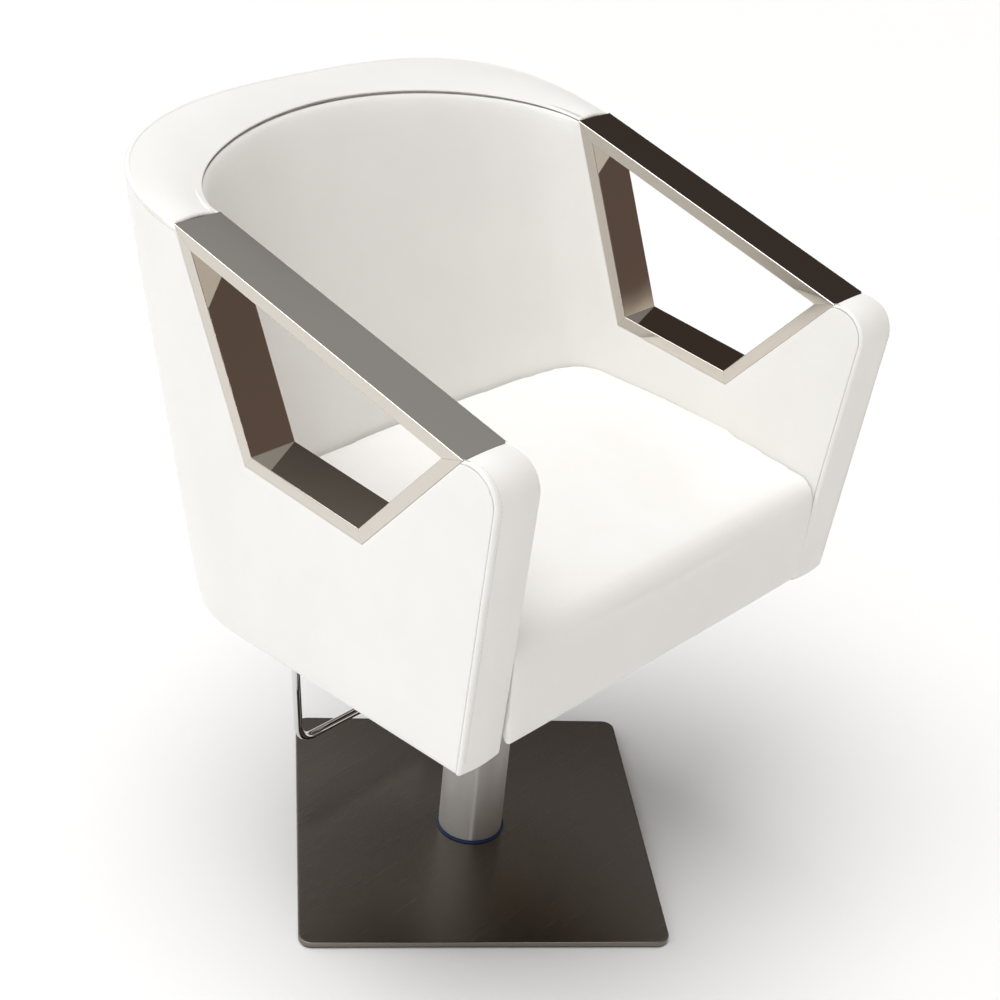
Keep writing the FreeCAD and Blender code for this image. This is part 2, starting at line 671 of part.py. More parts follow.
def tub_slab(strip, band):
    """The tub's side view, with its front drawn in by strip and its rim lowered by band."""
    toe, heel = frame_corners()[2], frame_corners()[3]
    front_top, back_top = frame_corners()[1], frame_corners()[0]
    low = side_point(FRONT_LOW[0] + strip, FRONT_LOW[1])
    high = side_point(FRONT_HIGH[0] + strip, FRONT_HIGH[1])
    shoulder = side_point(FRONT_SHOULDER[0] + 0.8 * strip, FRONT_SHOULDER[1] - 0.45 * strip)
    crown = front_top + (toe - front_top).normalize() * strip * 1.2
    rim, rim_start, rim_end = rim_edge(band)
    seat_back = back_top + (heel - back_top).normalize() * band * 1.02
    floor = side_point(size("back_end"), FRONT_LOW[1])
    edges = [line(low, high), Part.Arc(high, shoulder, crown).toShape()]
    if strip > 0:
        edges += [line(crown, toe), line(toe, heel), line(heel, seat_back)]
    else:
        edges += [line(crown, seat_back)]
    if (seat_back - rim_start).Length > 1e-4:
        edges.append(line(seat_back, rim_start))
    edges += [rim, line(rim_end, floor), line(floor, low)]
    return side_slab(edges)


def frame_corners():
    """Outer corners of the arm frame in the side view: back top, front top, toe, heel."""
    return [side_point(size("arm_back_y"), size("arm_back_z")),
            side_point(size("arm_front_y"), size("arm_front_z")),
            side_point(size("arm_toe_y"), size("arm_toe_z")),
            side_point(size("arm_heel_y"), size("arm_heel_z"))]


def shrunk(corners, inset):
    """A closed polygon of the side view drawn in by inset, or let out when it is negative."""
    wire = Part.makePolygon(corners + corners[:1])
    if inset == 0:
        return wire
    return wire.makeOffset2D(-inset, 2)


def frame_slab(inset):
    """The arm frame's outline, drawn in by inset, right through the chair."""
    face = Part.Face(shrunk(frame_corners(), inset))
    face.translate(Vector(-420, 0, 0))
    return face.extrude(Vector(840, 0, 0))


def slab_between(low, high):
    """A flat layer of space between two heights."""
    return Part.makeBox(1000, 1000, high - low, Vector(-500, -500, low))


def one_side(shape, side):
    """The part of a shape on one side of the chair, -1 for -X and 1 for +X."""
    return shape.common(Part.makeBox(500, 1200, 1200, Vector(-500 if side < 0 else 0, -600, 0)))


def make_tub():
    """Shell core, its outer and inner upholstery, the rim band, front strips and arm frames."""
    skin, core, wall = size("skin"), size("core"), size("wall")
    board_low = size("head_top + mount_height")
    board_top = board_low + size("board_height")
    outer, behind_skin, behind_core = tub(0), tub(skin), tub(skin + core)
    space = well()
    notch = frame_slab(-size("arm_gap"))
    full = tub_slab(0, 0).cut(notch)
    inside = tub_slab(size("strip_depth"), size("band_depth")).cut(notch)
    wall_full = full.common(outer).cut(space)
    edge = wall_full.cut(inside)
    above_board = slab_between(board_top + 0.3, 1000)

    skin_solid = inside.common(outer).cut(behind_skin)
    feature("outer_upholstery", largest(skin_solid, 1))
    core_solid = inside.common(behind_skin).cut(behind_core)
    feature("shell_core", largest(core_solid, 1))
    lining = inside.common(behind_core).cut(space).common(above_board)
    feature("inner_upholstery", largest(lining, 1))
    rear = Part.makeBox(1200, 600, 1200, Vector(-600, 60, 0))
    feature("top_band", largest(edge.common(rear), 1))
    for side, word in ((-1, "right"), (1, "left")):
        strip = one_side(edge.cut(rear), side)
        feature("front_strip_" + word, largest(strip, 1))

    frame = frame_slab(0).cut(frame_slab(size("arm_bar"))).common(outer).cut(tub(wall))
    sheet_wall = size("arm_sheet")
    hollow = frame_slab(sheet_wall).cut(frame_slab(size("arm_bar") - sheet_wall))
    hollow = hollow.common(tub(sheet_wall)).cut(tub(wall - sheet_wall))
    for side, word in ((-1, "right"), (1, "left")):
        solid = largest(one_side(frame, side), 1).cut(largest(one_side(hollow, side), 1))
        feature("arm_frame_" + word, solid)

    board = behind_core.common(slab_between(board_low, board_top))
    board = board.common(side_slab(box_edges(FRONT_LOW[0] + size("strip_depth"), 300, 0, 1000)))
    for offset in ring_of(4, size("seat_bolt_pitch") / math.sqrt(2), 45,
                          Part.makeCylinder(5.5, 40, Vector(0, 0, board_low - 10))
                          .fuse(Part.makeCylinder(11, 10, Vector(0, 0, board_top - 1.5)))):
        board = board.cut(offset)
    feature("seat_board", board)
    cloth = tub(skin + core + 4).common(slab_between(board_low - 1.2, board_low - 0.2))
    cloth = cloth.common(side_slab(box_edges(FRONT_LOW[0] + 20, 300, 0, 1000)))
    gap = size("mount_side") / 2 + 1
    cloth = cloth.cut(Part.makeBox(2 * gap, 2 * gap, 40, Vector(-gap, -gap, board_low - 20)))
    feature("dust_cover", cloth)


def box_edges(y_low, y_high, z_low, z_high):
    """The four edges of an upright rectangle in the side view."""
    corners = [side_point(y_low, z_low), side_point(y_high, z_low),
               side_point(y_high, z_high), side_point(y_low, z_high)]
    return [line(corners[i], corners[(i + 1) % 4]) for i in range(4)]


def largest(shape, count):
    """The biggest solids of a boolean's result, without slivers."""
    solids = sorted(shape.Solids, key=lambda solid: solid.Volume, reverse=True)[:count]
    return solids[0] if count == 1 else Part.makeCompound(solids)


def make_cushion():
    """Seat cushion: a crowned block with a rounded nose that laps over the board's front edge."""
    front, low, edge = size("cushion_front"), size("cushion_low"), size("cushion_edge")
    nose, crown, gap = size("cushion_nose"), size("cushion_crown"), size("cushion_gap")
    board_top = size("head_top + mount_height + board_height")
    lap = FRONT_LOW[0] + size("strip_depth") - 0.5
    rear = 200.0
    bow = nose * (1 - math.sqrt(0.5))
    points = {"low": side_point(front, low), "face": side_point(front, edge - nose),
              "bow": side_point(front + bow, edge - bow), "top": side_point(front + nose, edge),
              "crown": side_point(-60, crown), "rear": side_point(rear, edge + 4),
              "under": side_point(rear, board_top + 0.3), "step": side_point(lap, board_top + 0.3),
              "lap": side_point(lap, low)}
    edges = [line(points["low"], points["face"]),
             Part.Arc(points["face"], points["bow"], points["top"]).toShape(),
             Part.Arc(points["top"], points["crown"], points["rear"]).toShape(),
             line(points["rear"], points["under"]), line(points["under"], points["step"]),
             line(points["step"], points["lap"]), line(points["lap"], points["low"])]
    start, depth = size("inner_low_y"), size("inner_low_depth")
    wires = [plan(z, start, depth - gap, size("inner_low_power"), size("wall") + gap)
             for z in (size("tub_low") - 10, size("inner_low_z") + 30)]
    feature("seat_cushion", side_slab(edges).common(Part.makeLoft(wires, True, True)))


def make_shell_screws():
    """Screws through the shell core into the seat board, and studs that hold the arm frames."""
    z = size("head_top + mount_height + board_height / 2")
    inset = size("skin")
    screws = []
    for side in (-1, 1):
        for y in (-180.0, -60.0, 60.0):
            face = side * (tub_half(y, z) - inset - 1)
            inward = Vector(-side, 0, 0)
            head = Part.makeCone(4.2, 2.2, 4, Vector(face, y, z), inward)
            shank = Part.makeCylinder(2.2, 40, Vector(face, y, z), inward)
            screws.append(head.fuse(shank))
    group("shell_screws", screws)

    studs = []
    toe, heel = frame_corners()[2], frame_corners()[3]
    sheet_wall = size("arm_sheet")
    for side in (-1, 1):
        for share in (0.22, 0.78):
            spot = toe + (heel - toe) * share
            across = side * (tub_half(spot.y, spot.z) - inset - size("core") / 2)
            top = Vector(across, spot.y, spot.z + 1.0)
            nut = Part.makeCylinder(6.5, 4, top + Vector(0, 0, sheet_wall), Vector(0, 0, 1))
            studs.append(Part.makeCylinder(4, 40, top, Vector(0, 0, -1))
                         .fuse(Part.makeCylinder(4, sheet_wall, top)).fuse(nut))
    group("arm_frame_studs", studs)


def main():
    """Build every sub-part, check them and write one STEP file for each."""
    for step in (make_foot_pads, make_base_plate, make_plate_cover, make_column, make_base_bolts,
                 make_bearing, make_rod, make_cylinder, make_pump_head, make_lever, make_seat_mount,
                 make_fasteners, make_tub, make_cushion, make_shell_screws):
        step()
    doc.recompute()
    write_parts()


def write_parts():
    """Check that every object and every sub-part is sound, then export the sub-parts."""
    for item in doc.Objects:
        if "Invalid" in item.State or "Error" in item.State:
            raise RuntimeError(f"{item.Name} did not recompute: {item.State}")
    used = set()
    for item in doc.Objects:
        for other in item.OutList:
            if item.TypeId in ("Part::Cut", "Part::MultiFuse", "PartDesign::Body"):
                used.add(other.Name)
    finished = [item for item in doc.Objects
                if item.Name not in used and hasattr(item, "Shape")
                and (item.TypeId.startswith("Part::") or item.TypeId == "PartDesign::Body")]
    os.makedirs("parts", exist_ok=True)
    for item in finished:
        shape = item.Shape
        if shape.isNull() or not shape.isValid() or not shape.Solids:
            raise RuntimeError(f"{item.Label} has no sound shape")
        shape.exportStep(f"parts/{item.Label}.step")
        box = shape.BoundBox
        print(f"{item.Label:20s} {len(shape.Solids):2d} solids {shape.Volume / 1000:9.1f} cm3 "
              f"x {box.XMin:7.1f} {box.XMax:7.1f} y {box.YMin:7.1f} {box.YMax:7.1f} "
              f"z {box.ZMin:6.1f} {box.ZMax:6.1f}")


main()
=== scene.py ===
import json
import logging
import math
from collections.abc import Callable, Sequence
from dataclasses import dataclass, field
from enum import Enum

import bmesh
import bpy
import numpy as np
from mathutils import Matrix, Vector


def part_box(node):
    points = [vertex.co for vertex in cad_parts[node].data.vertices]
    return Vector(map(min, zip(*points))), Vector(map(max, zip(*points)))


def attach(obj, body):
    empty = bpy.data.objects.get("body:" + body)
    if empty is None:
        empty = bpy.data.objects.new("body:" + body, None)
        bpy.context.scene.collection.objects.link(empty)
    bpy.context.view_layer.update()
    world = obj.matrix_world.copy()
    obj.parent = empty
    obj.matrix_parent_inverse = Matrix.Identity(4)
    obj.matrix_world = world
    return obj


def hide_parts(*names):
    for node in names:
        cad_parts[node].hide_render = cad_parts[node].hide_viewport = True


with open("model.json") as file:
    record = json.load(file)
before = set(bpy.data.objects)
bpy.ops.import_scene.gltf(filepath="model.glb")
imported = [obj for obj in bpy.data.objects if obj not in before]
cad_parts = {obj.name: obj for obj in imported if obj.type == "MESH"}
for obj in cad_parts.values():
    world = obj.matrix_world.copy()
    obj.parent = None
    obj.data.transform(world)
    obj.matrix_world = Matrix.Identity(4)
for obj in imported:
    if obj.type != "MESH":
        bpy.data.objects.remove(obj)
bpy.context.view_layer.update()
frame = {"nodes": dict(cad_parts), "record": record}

LOG = logging.getLogger("styling_chair")
MM = 0.001
Point = tuple[float, float]


class Body(str, Enum):
    """The rigid bodies that the chair's pieces ride on."""

    BASE = "base"
    PISTON = "piston"
    SEAT = "seat"
    LEVER = "lever"
    PLUNGER = "plunger"


class Side(int, Enum):
    """The two sides of the chair, as the sign of X."""

    RIGHT = -1
    LEFT = 1


class Face(int, Enum):
    """Which face of the tub's wall a panel lies on."""

    OUTER = 0
    INNER = 1


# ------------------------------------------------------------------ colours and node helper
def linear(hex_colour: str, alpha: float = 1.0) -> tuple[float, float, float, float]:
    """Turn an sRGB hex colour into linear values.

    Args:
        hex_colour: six hex digits with a leading hash.
        alpha: the fourth value.

    Returns:
        Linear red, green, blue and alpha.
    """
    values = [int(hex_colour[i:i + 2], 16) / 255 for i in (1, 3, 5)]
    red, green, blue = [v / 12.92 if v <= 0.04045 else ((v + 0.055) / 1.055) ** 2.4 for v in values]
    return red, green, blue, alpha


def add_node(tree: bpy.types.NodeTree, kind: str, inputs: dict | None = None, **settings) -> bpy.types.Node:
    """Add a node with its settings, values and links.

    Args:
        tree: the node tree.
        kind: the node's type name.
        inputs: socket name or number to a value, or to another node's output socket.
        settings: properties of the node itself.

    Returns:
        The new node.
    """
    node = tree.nodes.new(kind)
    for name, value in settings.items():
        setattr(node, name, value)
    for key, value in (inputs or {}).items():
        socket = node.inputs[key]
        if isinstance(value, bpy.types.NodeSocket):
            tree.links.new(value, socket)
        else:
            socket.default_value = value
    return node


def blank_material(name: str) -> tuple[bpy.types.Material, bpy.types.NodeTree]:
    """Make an empty node material.

    Args:
        name: the material's name.

    Returns:
        The material and its node tree.
    """
    material = bpy.data.materials.new(name)
    material.use_nodes = True
    material.node_tree.nodes.clear()
    return material, material.node_tree


def finish_material(tree: bpy.types.NodeTree, shader: bpy.types.Node) -> None:
    """Link a shader to the material's output."""
    add_node(tree, "ShaderNodeOutputMaterial", {"Surface": shader.outputs[0]})


# ------------------------------------------------------------------ finishes
@dataclass(frozen=True)
class Leatherette:
    """Coated upholstery fabric: calendered PVC film with an embossed fine grain, soft low gloss."""

    name: str
    colour: str
    shade: str
    grain_mm: float = 1.1
    roughness: float = 0.42

    def build(self) -> bpy.types.Material:
        """Make the material: pebble grain as bump, faint cloudy tone, thin clear sheen."""
        material, tree = blank_material(self.name)
        place = add_node(tree, "ShaderNodeTexCoord")
        scale = 1 / (self.grain_mm * MM)
        pebble = add_node(tree, "ShaderNodeTexVoronoi",
                          {"Vector": place.outputs["Object"], "Scale": scale}, feature="SMOOTH_F1")
        pebble.inputs["Smoothness"].default_value = 0.7
        pull = add_node(tree, "ShaderNodeTexNoise",
                        {"Vector": place.outputs["Object"], "Scale": 14.0, "Detail": 3.0})
        tone = add_node(tree, "ShaderNodeMix", {"Factor": pull.outputs[0], 6: linear(self.shade),
                                                7: linear(self.colour)}, data_type="RGBA")
        fine = add_node(tree, "ShaderNodeBump", {"Height": pebble.outputs["Distance"],
                                                 "Strength": 0.10, "Distance": 0.2 * MM})
        soft = add_node(tree, "ShaderNodeBump", {"Height": pull.outputs[0], "Normal": fine.outputs[0],
                                                 "Strength": 0.25, "Distance": 2.0 * MM})
        shader = add_node(tree, "ShaderNodeBsdfPrincipled",
                          {"Base Color": tone.outputs[2], "Normal": soft.outputs[0],
                           "Roughness": self.roughness, "IOR": 1.5, "Sheen Weight": 0.04,
                           "Coat Weight": 0.08, "Coat Roughness": 0.3})
        finish_material(tree, shader)
        return material


@dataclass(frozen=True)
class BrightMetal:
    """Polished or plated metal: bright reflections, a trace of polishing waviness."""

    name: str
    colour: str
    roughness: float = 0.05
    wave_mm: float = 60.0
    wave_depth: float = 0.06
    stretch: float = 0.0

    def build(self) -> bpy.types.Material:
        """Make the material: full metal, a wide low bump; stretch draws reflections out along Z."""
        material, tree = blank_material(self.name)
        place = add_node(tree, "ShaderNodeTexCoord")
        waves = add_node(tree, "ShaderNodeTexNoise", {"Vector": place.outputs["Object"],
                                                      "Scale": 1 / (self.wave_mm * MM), "Detail": 1.0})
        bump = add_node(tree, "ShaderNodeBump", {"Height": waves.outputs[0], "Distance": 1.0 * MM,
                                                 "Strength": self.wave_depth})
        shader = add_node(tree, "ShaderNodeBsdfPrincipled",
                          {"Base Color": linear(self.colour), "Metallic": 1.0,
                           "Roughness": self.roughness, "Normal": bump.outputs[0]})
        if self.stretch:
            tangent = add_node(tree, "ShaderNodeTangent", direction_type="RADIAL", axis="Z")
            tree.links.new(tangent.outputs[0], shader.inputs["Tangent"])
            shader.inputs["Anisotropic"].default_value = self.stretch
            shader.inputs["Anisotropic Rotation"].default_value = 0.25
        finish_material(tree, shader)
        return material


@dataclass(frozen=True)
class BrushedSteel:
    """Stainless sheet brushed in straight parallel strokes: long soft streaks of reflection."""

    name: str
    colour: str
    dark: str
    turn: float
    stroke_mm: float = 0.9
    length_mm: float = 200.0
    roughness: float = 0.26

    def build(self) -> bpy.types.Material:
        """Make the material: noise stretched along the strokes drives tone, bump and gloss."""
        material, tree = blank_material(self.name)
        place = add_node(tree, "ShaderNodeTexCoord")
        mapping = add_node(tree, "ShaderNodeMapping", {"Vector": place.outputs["Object"],
                                                       "Rotation": (0.0, 0.0, -self.turn),
                                                       "Scale": (1 / (self.length_mm * MM),
                                                                 1 / (self.stroke_mm * MM), 40.0)})
        strokes = add_node(tree, "ShaderNodeTexNoise", {"Vector": mapping.outputs[0], "Scale": 1.0,
                                                        "Detail": 4.0, "Roughness": 0.6})
        tone = add_node(tree, "ShaderNodeMix", {"Factor": strokes.outputs[0], 6: linear(self.dark),
                                                7: linear(self.colour)}, data_type="RGBA")
        gloss = add_node(tree, "ShaderNodeMapRange", {"Value": strokes.outputs[0],
                                                      "To Min": self.roughness - 0.02,
                                                      "To Max": self.roughness + 0.03})
        bump = add_node(tree, "ShaderNodeBump", {"Height": strokes.outputs[0], "Distance": 0.1 * MM,
                                                 "Strength": 0.05})
        shader = add_node(tree, "ShaderNodeBsdfPrincipled",
                          {"Base Color": tone.outputs[2], "Metallic": 1.0,
                           "Roughness": gloss.outputs[0], "Normal": bump.outputs[0],
                           "Anisotropic": 0.5})
        finish_material(tree, shader)
        return material


@dataclass(frozen=True)
class PlainFinish:
    """A simple opaque finish: paint, plastic, rubber, thread or bare hidden metal."""

    name: str
    colour: str
    roughness: float
    metallic: float = 0.0
    grain_mm: float = 0.0
    grain_depth_mm: float = 0.05

    def build(self) -> bpy.types.Material:
        """Make the material, with a fine random texture where the real surface has one."""
        material, tree = blank_material(self.name)
        shader = add_node(tree, "ShaderNodeBsdfPrincipled",
                          {"Base Color": linear(self.colour), "Metallic": self.metallic,
                           "Roughness": self.roughness})
        if self.grain_mm:
            place = add_node(tree, "ShaderNodeTexCoord")
            speckle = add_node(tree, "ShaderNodeTexNoise",
                               {"Vector": place.outputs["Object"], "Scale": 1 / (self.grain_mm * MM)})
            bump = add_node(tree, "ShaderNodeBump", {"Height": speckle.outputs[0], "Strength": 0.4,
                                                     "Distance": self.grain_depth_mm * MM})
            tree.links.new(bump.outputs[0], shader.inputs["Normal"])
        finish_material(tree, shader)
        return material


@dataclass(frozen=True)
class Plywood:
    """Birch plywood: pale veneer with long soft grain."""

    name: str
    pale: str = "#D9BC8C"
    dark: str = "#B9935F"

    def build(self) -> bpy.types.Material:
        """Make the material: noise stretched along Y as grain."""
        material, tree = blank_material(self.name)
        place = add_node(tree, "ShaderNodeTexCoord")
        mapping = add_node(tree, "ShaderNodeMapping", {"Vector": place.outputs["Object"],
                                                       "Scale": (220.0, 9.0, 220.0)})
        grain = add_node(tree, "ShaderNodeTexNoise", {"Vector": mapping.outputs[0], "Scale": 1.0,
                                                      "Detail": 4.0})
        tone = add_node(tree, "ShaderNodeMix", {"Factor": grain.outputs[0], 6: linear(self.dark),
                                                7: linear(self.pale)}, data_type="RGBA")
        shader = add_node(tree, "ShaderNodeBsdfPrincipled", {"Base Color": tone.outputs[2],
                                                             "Roughness": 0.6})
        finish_material(tree, shader)
        return material


PLATE_TURN = math.radians(-41.37)


class Finishes:
    """Every finish of the chair, built once and looked up by the record's slot name."""

    def __init__(self) -> None:
        """Build each material under its slot."""
        self.slots: dict[str, bpy.types.Material] = {
            "white_leatherette": Leatherette("white_leatherette", "#F1F0ED", "#EBE9E6").build(),
            "polished_stainless": BrightMetal("polished_stainless", "#D3CDC4", 0.035).build(),
            "chrome": BrightMetal("chrome_plate", "#DADADB", 0.04, 90.0, 0.03).build(),
            "brushed_stainless": BrushedSteel("brushed_stainless", "#878179", "#7D776F",
                                              PLATE_TURN).build(),
            "black_paint": PlainFinish("black_powder_coat", "#17171A", 0.5, 0.0, 0.6).build(),
            "steel": PlainFinish("machined_steel", "#9A9A9D", 0.32, 1.0).build(),
            "zinc": PlainFinish("bright_zinc_plate", "#B4B7BC", 0.3, 1.0).build(),
            "cast_iron": PlainFinish("black_painted_casting", "#1D1D20", 0.55, 0.0, 1.5, 0.3).build(),
            "bronze": PlainFinish("sintered_bronze", "#A5814A", 0.45, 1.0).build(),
            "rubber": PlainFinish("black_rubber", "#141414", 0.8, 0.0, 0.5).build(),
            "nylon": PlainFinish("natural_nylon", "#DEDCD2", 0.45).build(),
            "blue_plastic": PlainFinish("dark_blue_seal", "#12305C", 0.35).build(),
            "plywood": Plywood("birch_plywood").build(),
            "black_cloth": PlainFinish("black_nonwoven", "#1B1B1C", 0.95, 0.0, 0.8, 0.2).build(),
        }
        self.thread = PlainFinish("polyester_thread", "#E4E0D9", 0.6).build()
        self.turned_chrome = BrightMetal("turned_chrome_plate", "#C9C6C2", 0.36, 90.0, 0.03, 0.97).build()

    def dress(self, piece: bpy.types.Object, slot: str) -> None:
        """Give a piece its slot's material.

        Args:
            piece: the finished piece.
            slot: the record's material slot.
        """
        piece.data.materials.clear()
        piece.data.materials.append(self.slots[slot])


# ------------------------------------------------------------------ mesh helpers
def mesh_object(name: str, points: np.ndarray, faces: list[tuple[int, ...]],
                smooth: bool = True) -> bpy.types.Object:
    """Make an object from points and faces, with its place in its mesh.

    Args:
        name: the piece's name.
        points: one row per vertex, in metres.
        faces: vertex numbers, counter-clockwise from outside.
        smooth: whether the faces shade smoothly.

    Returns:
        The new object, at the origin.
    """
    mesh = bpy.data.meshes.new(name)
    mesh.from_pydata([tuple(map(float, p)) for p in points], [], faces)
    mesh.update()
    for polygon in mesh.polygons:
        polygon.use_smooth = smooth
    piece = bpy.data.objects.new(name, mesh)
    bpy.context.scene.collection.objects.link(piece)
    return piece


def grid_faces(columns: int, rows: int, ring: bool = False, loop: bool = False) -> list[tuple[int, ...]]:
    """Quads of a grid stored column by column.

    Args:
        columns: number of columns.
        rows: points in each column.
        ring: whether the last column joins the first.
        loop: whether each column's last point joins its first.

    Returns:
        The quads.
    """
    faces = []
    for c in range(columns if ring else columns - 1):
        after = (c + 1) % columns
        for r in range(rows if loop else rows - 1):
            up = (r + 1) % rows
            faces.append((c * rows + r, after * rows + r, after * rows + up, c * rows + up))
    return faces


def apply_modifiers(piece: bpy.types.Object) -> None:
    """Turn a piece's live modifiers into plain mesh."""
    graph = bpy.context.evaluated_depsgraph_get()
    graph.update()
    mesh = bpy.data.meshes.new_from_object(piece.evaluated_get(graph))
    piece.modifiers.clear()
    piece.data = mesh


def outward(piece: bpy.types.Object, tolerance: float = 1e-6) -> None:
    """Turn every face of a closed piece outwards, after merging its doubles.

    Args:
        piece: the piece.
        tolerance: merging distance; 0 keeps touching parts apart.
    """
    bm = bmesh.new()
    bm.from_mesh(piece.data)
    if tolerance:
        bmesh.ops.remove_doubles(bm, verts=bm.verts, dist=tolerance)
    bmesh.ops.recalc_face_normals(bm, faces=bm.faces)
    bm.to_mesh(piece.data)
    bm.free()


def padded_panel(name: str, points: np.ndarray, normal: np.ndarray, depth: float) -> bpy.types.Object:
    """Make a closed padded shell from a shaped grid of points.

    Args:
        name: the piece's name.
        points: the grid, columns first.
        normal: the grid's outward normals.
        depth: wall thickness in metres.

    Returns:
        The piece.
    """
    piece = mesh_object(name, points.reshape(-1, 3), grid_faces(*points.shape[:2]))
    away = normal.reshape(-1, 3)
    if sum(polygon.normal.dot(Vector(away[polygon.vertices[0]])) for polygon in piece.data.polygons) < 0:
        piece.data.flip_normals()
    wall = piece.modifiers.new("wall", "SOLIDIFY")
    wall.thickness = depth
    wall.offset = -1.0
    wall.use_rim = True
    apply_modifiers(piece)
    outward(piece)
    return piece


def lathe(name: str, profile: Sequence[Point], segments: int = 96) -> bpy.types.Object:
    """Turn a closed profile round the Z axis.

    Args:
        name: the piece's name.
        profile: (radius, height) corners of the closed section, in metres.
        segments: steps round the axis.

    Returns:
        The turned piece.
    """
    points = []
    for index in range(segments):
        angle = 2 * math.pi * index / segments
        for radius, height in profile:
            points.append((radius * math.cos(angle), radius * math.sin(angle), height))
    piece = mesh_object(name, np.array(points), grid_faces(segments, len(profile), True, True))
    outward(piece)
    crease_shading(piece, 35.0)
    return piece


def crease_shading(piece: bpy.types.Object, degrees: float) -> None:
    """Shade smoothly except across edges sharper than an angle."""
    limit = math.radians(degrees)
    bm = bmesh.new()
    bm.from_mesh(piece.data)
    for edge in bm.edges:
        edge.smooth = len(edge.link_faces) == 2 and edge.calc_face_angle() < limit
    bm.to_mesh(piece.data)
    bm.free()
    for polygon in piece.data.polygons:
        polygon.use_smooth = True


def rounded_square(half: float, corner: float, per_corner: int, per_side: int) -> np.ndarray:
    """Points round a square with rounded corners, counter-clockwise, centred on the axis.

    Args:
        half: half the side.
        corner: corner radius.
        per_corner: points on each corner's arc.
        per_side: extra points along each straight side.

    Returns:
        One (x, y) row per point.
    """
    points = []
    for quarter in range(4):
        middle = math.pi / 2 * quarter + math.pi / 4
        centre = np.array([math.copysign(half - corner, math.cos(middle)),
                           math.copysign(half - corner, math.sin(middle))])
        for step in range(per_corner):
            angle = math.pi / 2 * (quarter + step / (per_corner - 1))
            points.append(centre + corner * np.array([math.cos(angle), math.sin(angle)]))
        turn = math.pi / 2 * (quarter + 1)
        run = 2 * (half - corner) * np.array([-math.sin(turn), math.cos(turn)])
        start = points[-1]
        points.extend(start + run * step / (per_side + 1) for step in range(1, per_side + 1))
    return np.array(points)


def graded(length: float, count: int, fine: Sequence[float] = (0.4, 1.0, 2.0, 3.4, 5.2)) -> np.ndarray:
    """Places along a length, close together at both ends so that seams can roll in.

    Args:
        length: the whole length in metres.
        count: how many even steps lie between the fine ones.
        fine: distances of the close places from either end, in millimetres.

    Returns:
        Fractions of the length, from 0 to 1.
    """
    near = [0.0] + [min(step * MM / length, 0.02 * (index + 1)) for index, step in enumerate(fine)]
    inner = list(np.linspace(near[-1], 1 - near[-1], count + 2)[1:-1])
    return np.array(near + inner + [1 - value for value in reversed(near)])


def grid_normals(points: np.ndarray) -> np.ndarray:
    """Unit normals of a grid of points, columns first, pointing along column x row."""
    across = np.gradient(points, axis=0)
    along = np.gradient(points, axis=1)
    normal = np.cross(across, along)
    return normal / np.maximum(np.linalg.norm(normal, axis=2, keepdims=True), 1e-12)


def roll_in(distance: np.ndarray, reach: float, sink: float | None = None) -> np.ndarray:
    """How far a panel sinks towards a seam: a quarter of an ellipse.

    Args:
        distance: distance from the seam.
        reach: how far from the seam the panel starts to sink.
        sink: depth at the seam; as much as the reach if not given.

    Returns:
        The depth at each point.
    """
    near = np.clip(1 - distance / reach, 0, 1)
    return (reach if sink is None else sink) * (1 - np.sqrt(1 - near ** 2))


def grid_lengths(points: np.ndarray, axis: int) -> np.ndarray:
    """Running length along one axis of a grid of points."""
    steps = np.linalg.norm(np.diff(points, axis=axis), axis=2)
    zero = np.zeros_like(np.take(steps, [0], axis=axis))
    return np.concatenate([zero, np.cumsum(steps, axis=axis)], axis=axis)


# ------------------------------------------------------------------ tub shape
@dataclass
class PlanSection:
    """A level plan curve of the tub: straight sides, then a rounded back.

    Fields are metres: height, where the back curve starts, its reach along +Y, its squareness
    (power) and how far it lies inside the outer face.
    """

    z: float
    start: float
    depth: float
    power: float
    inset: float


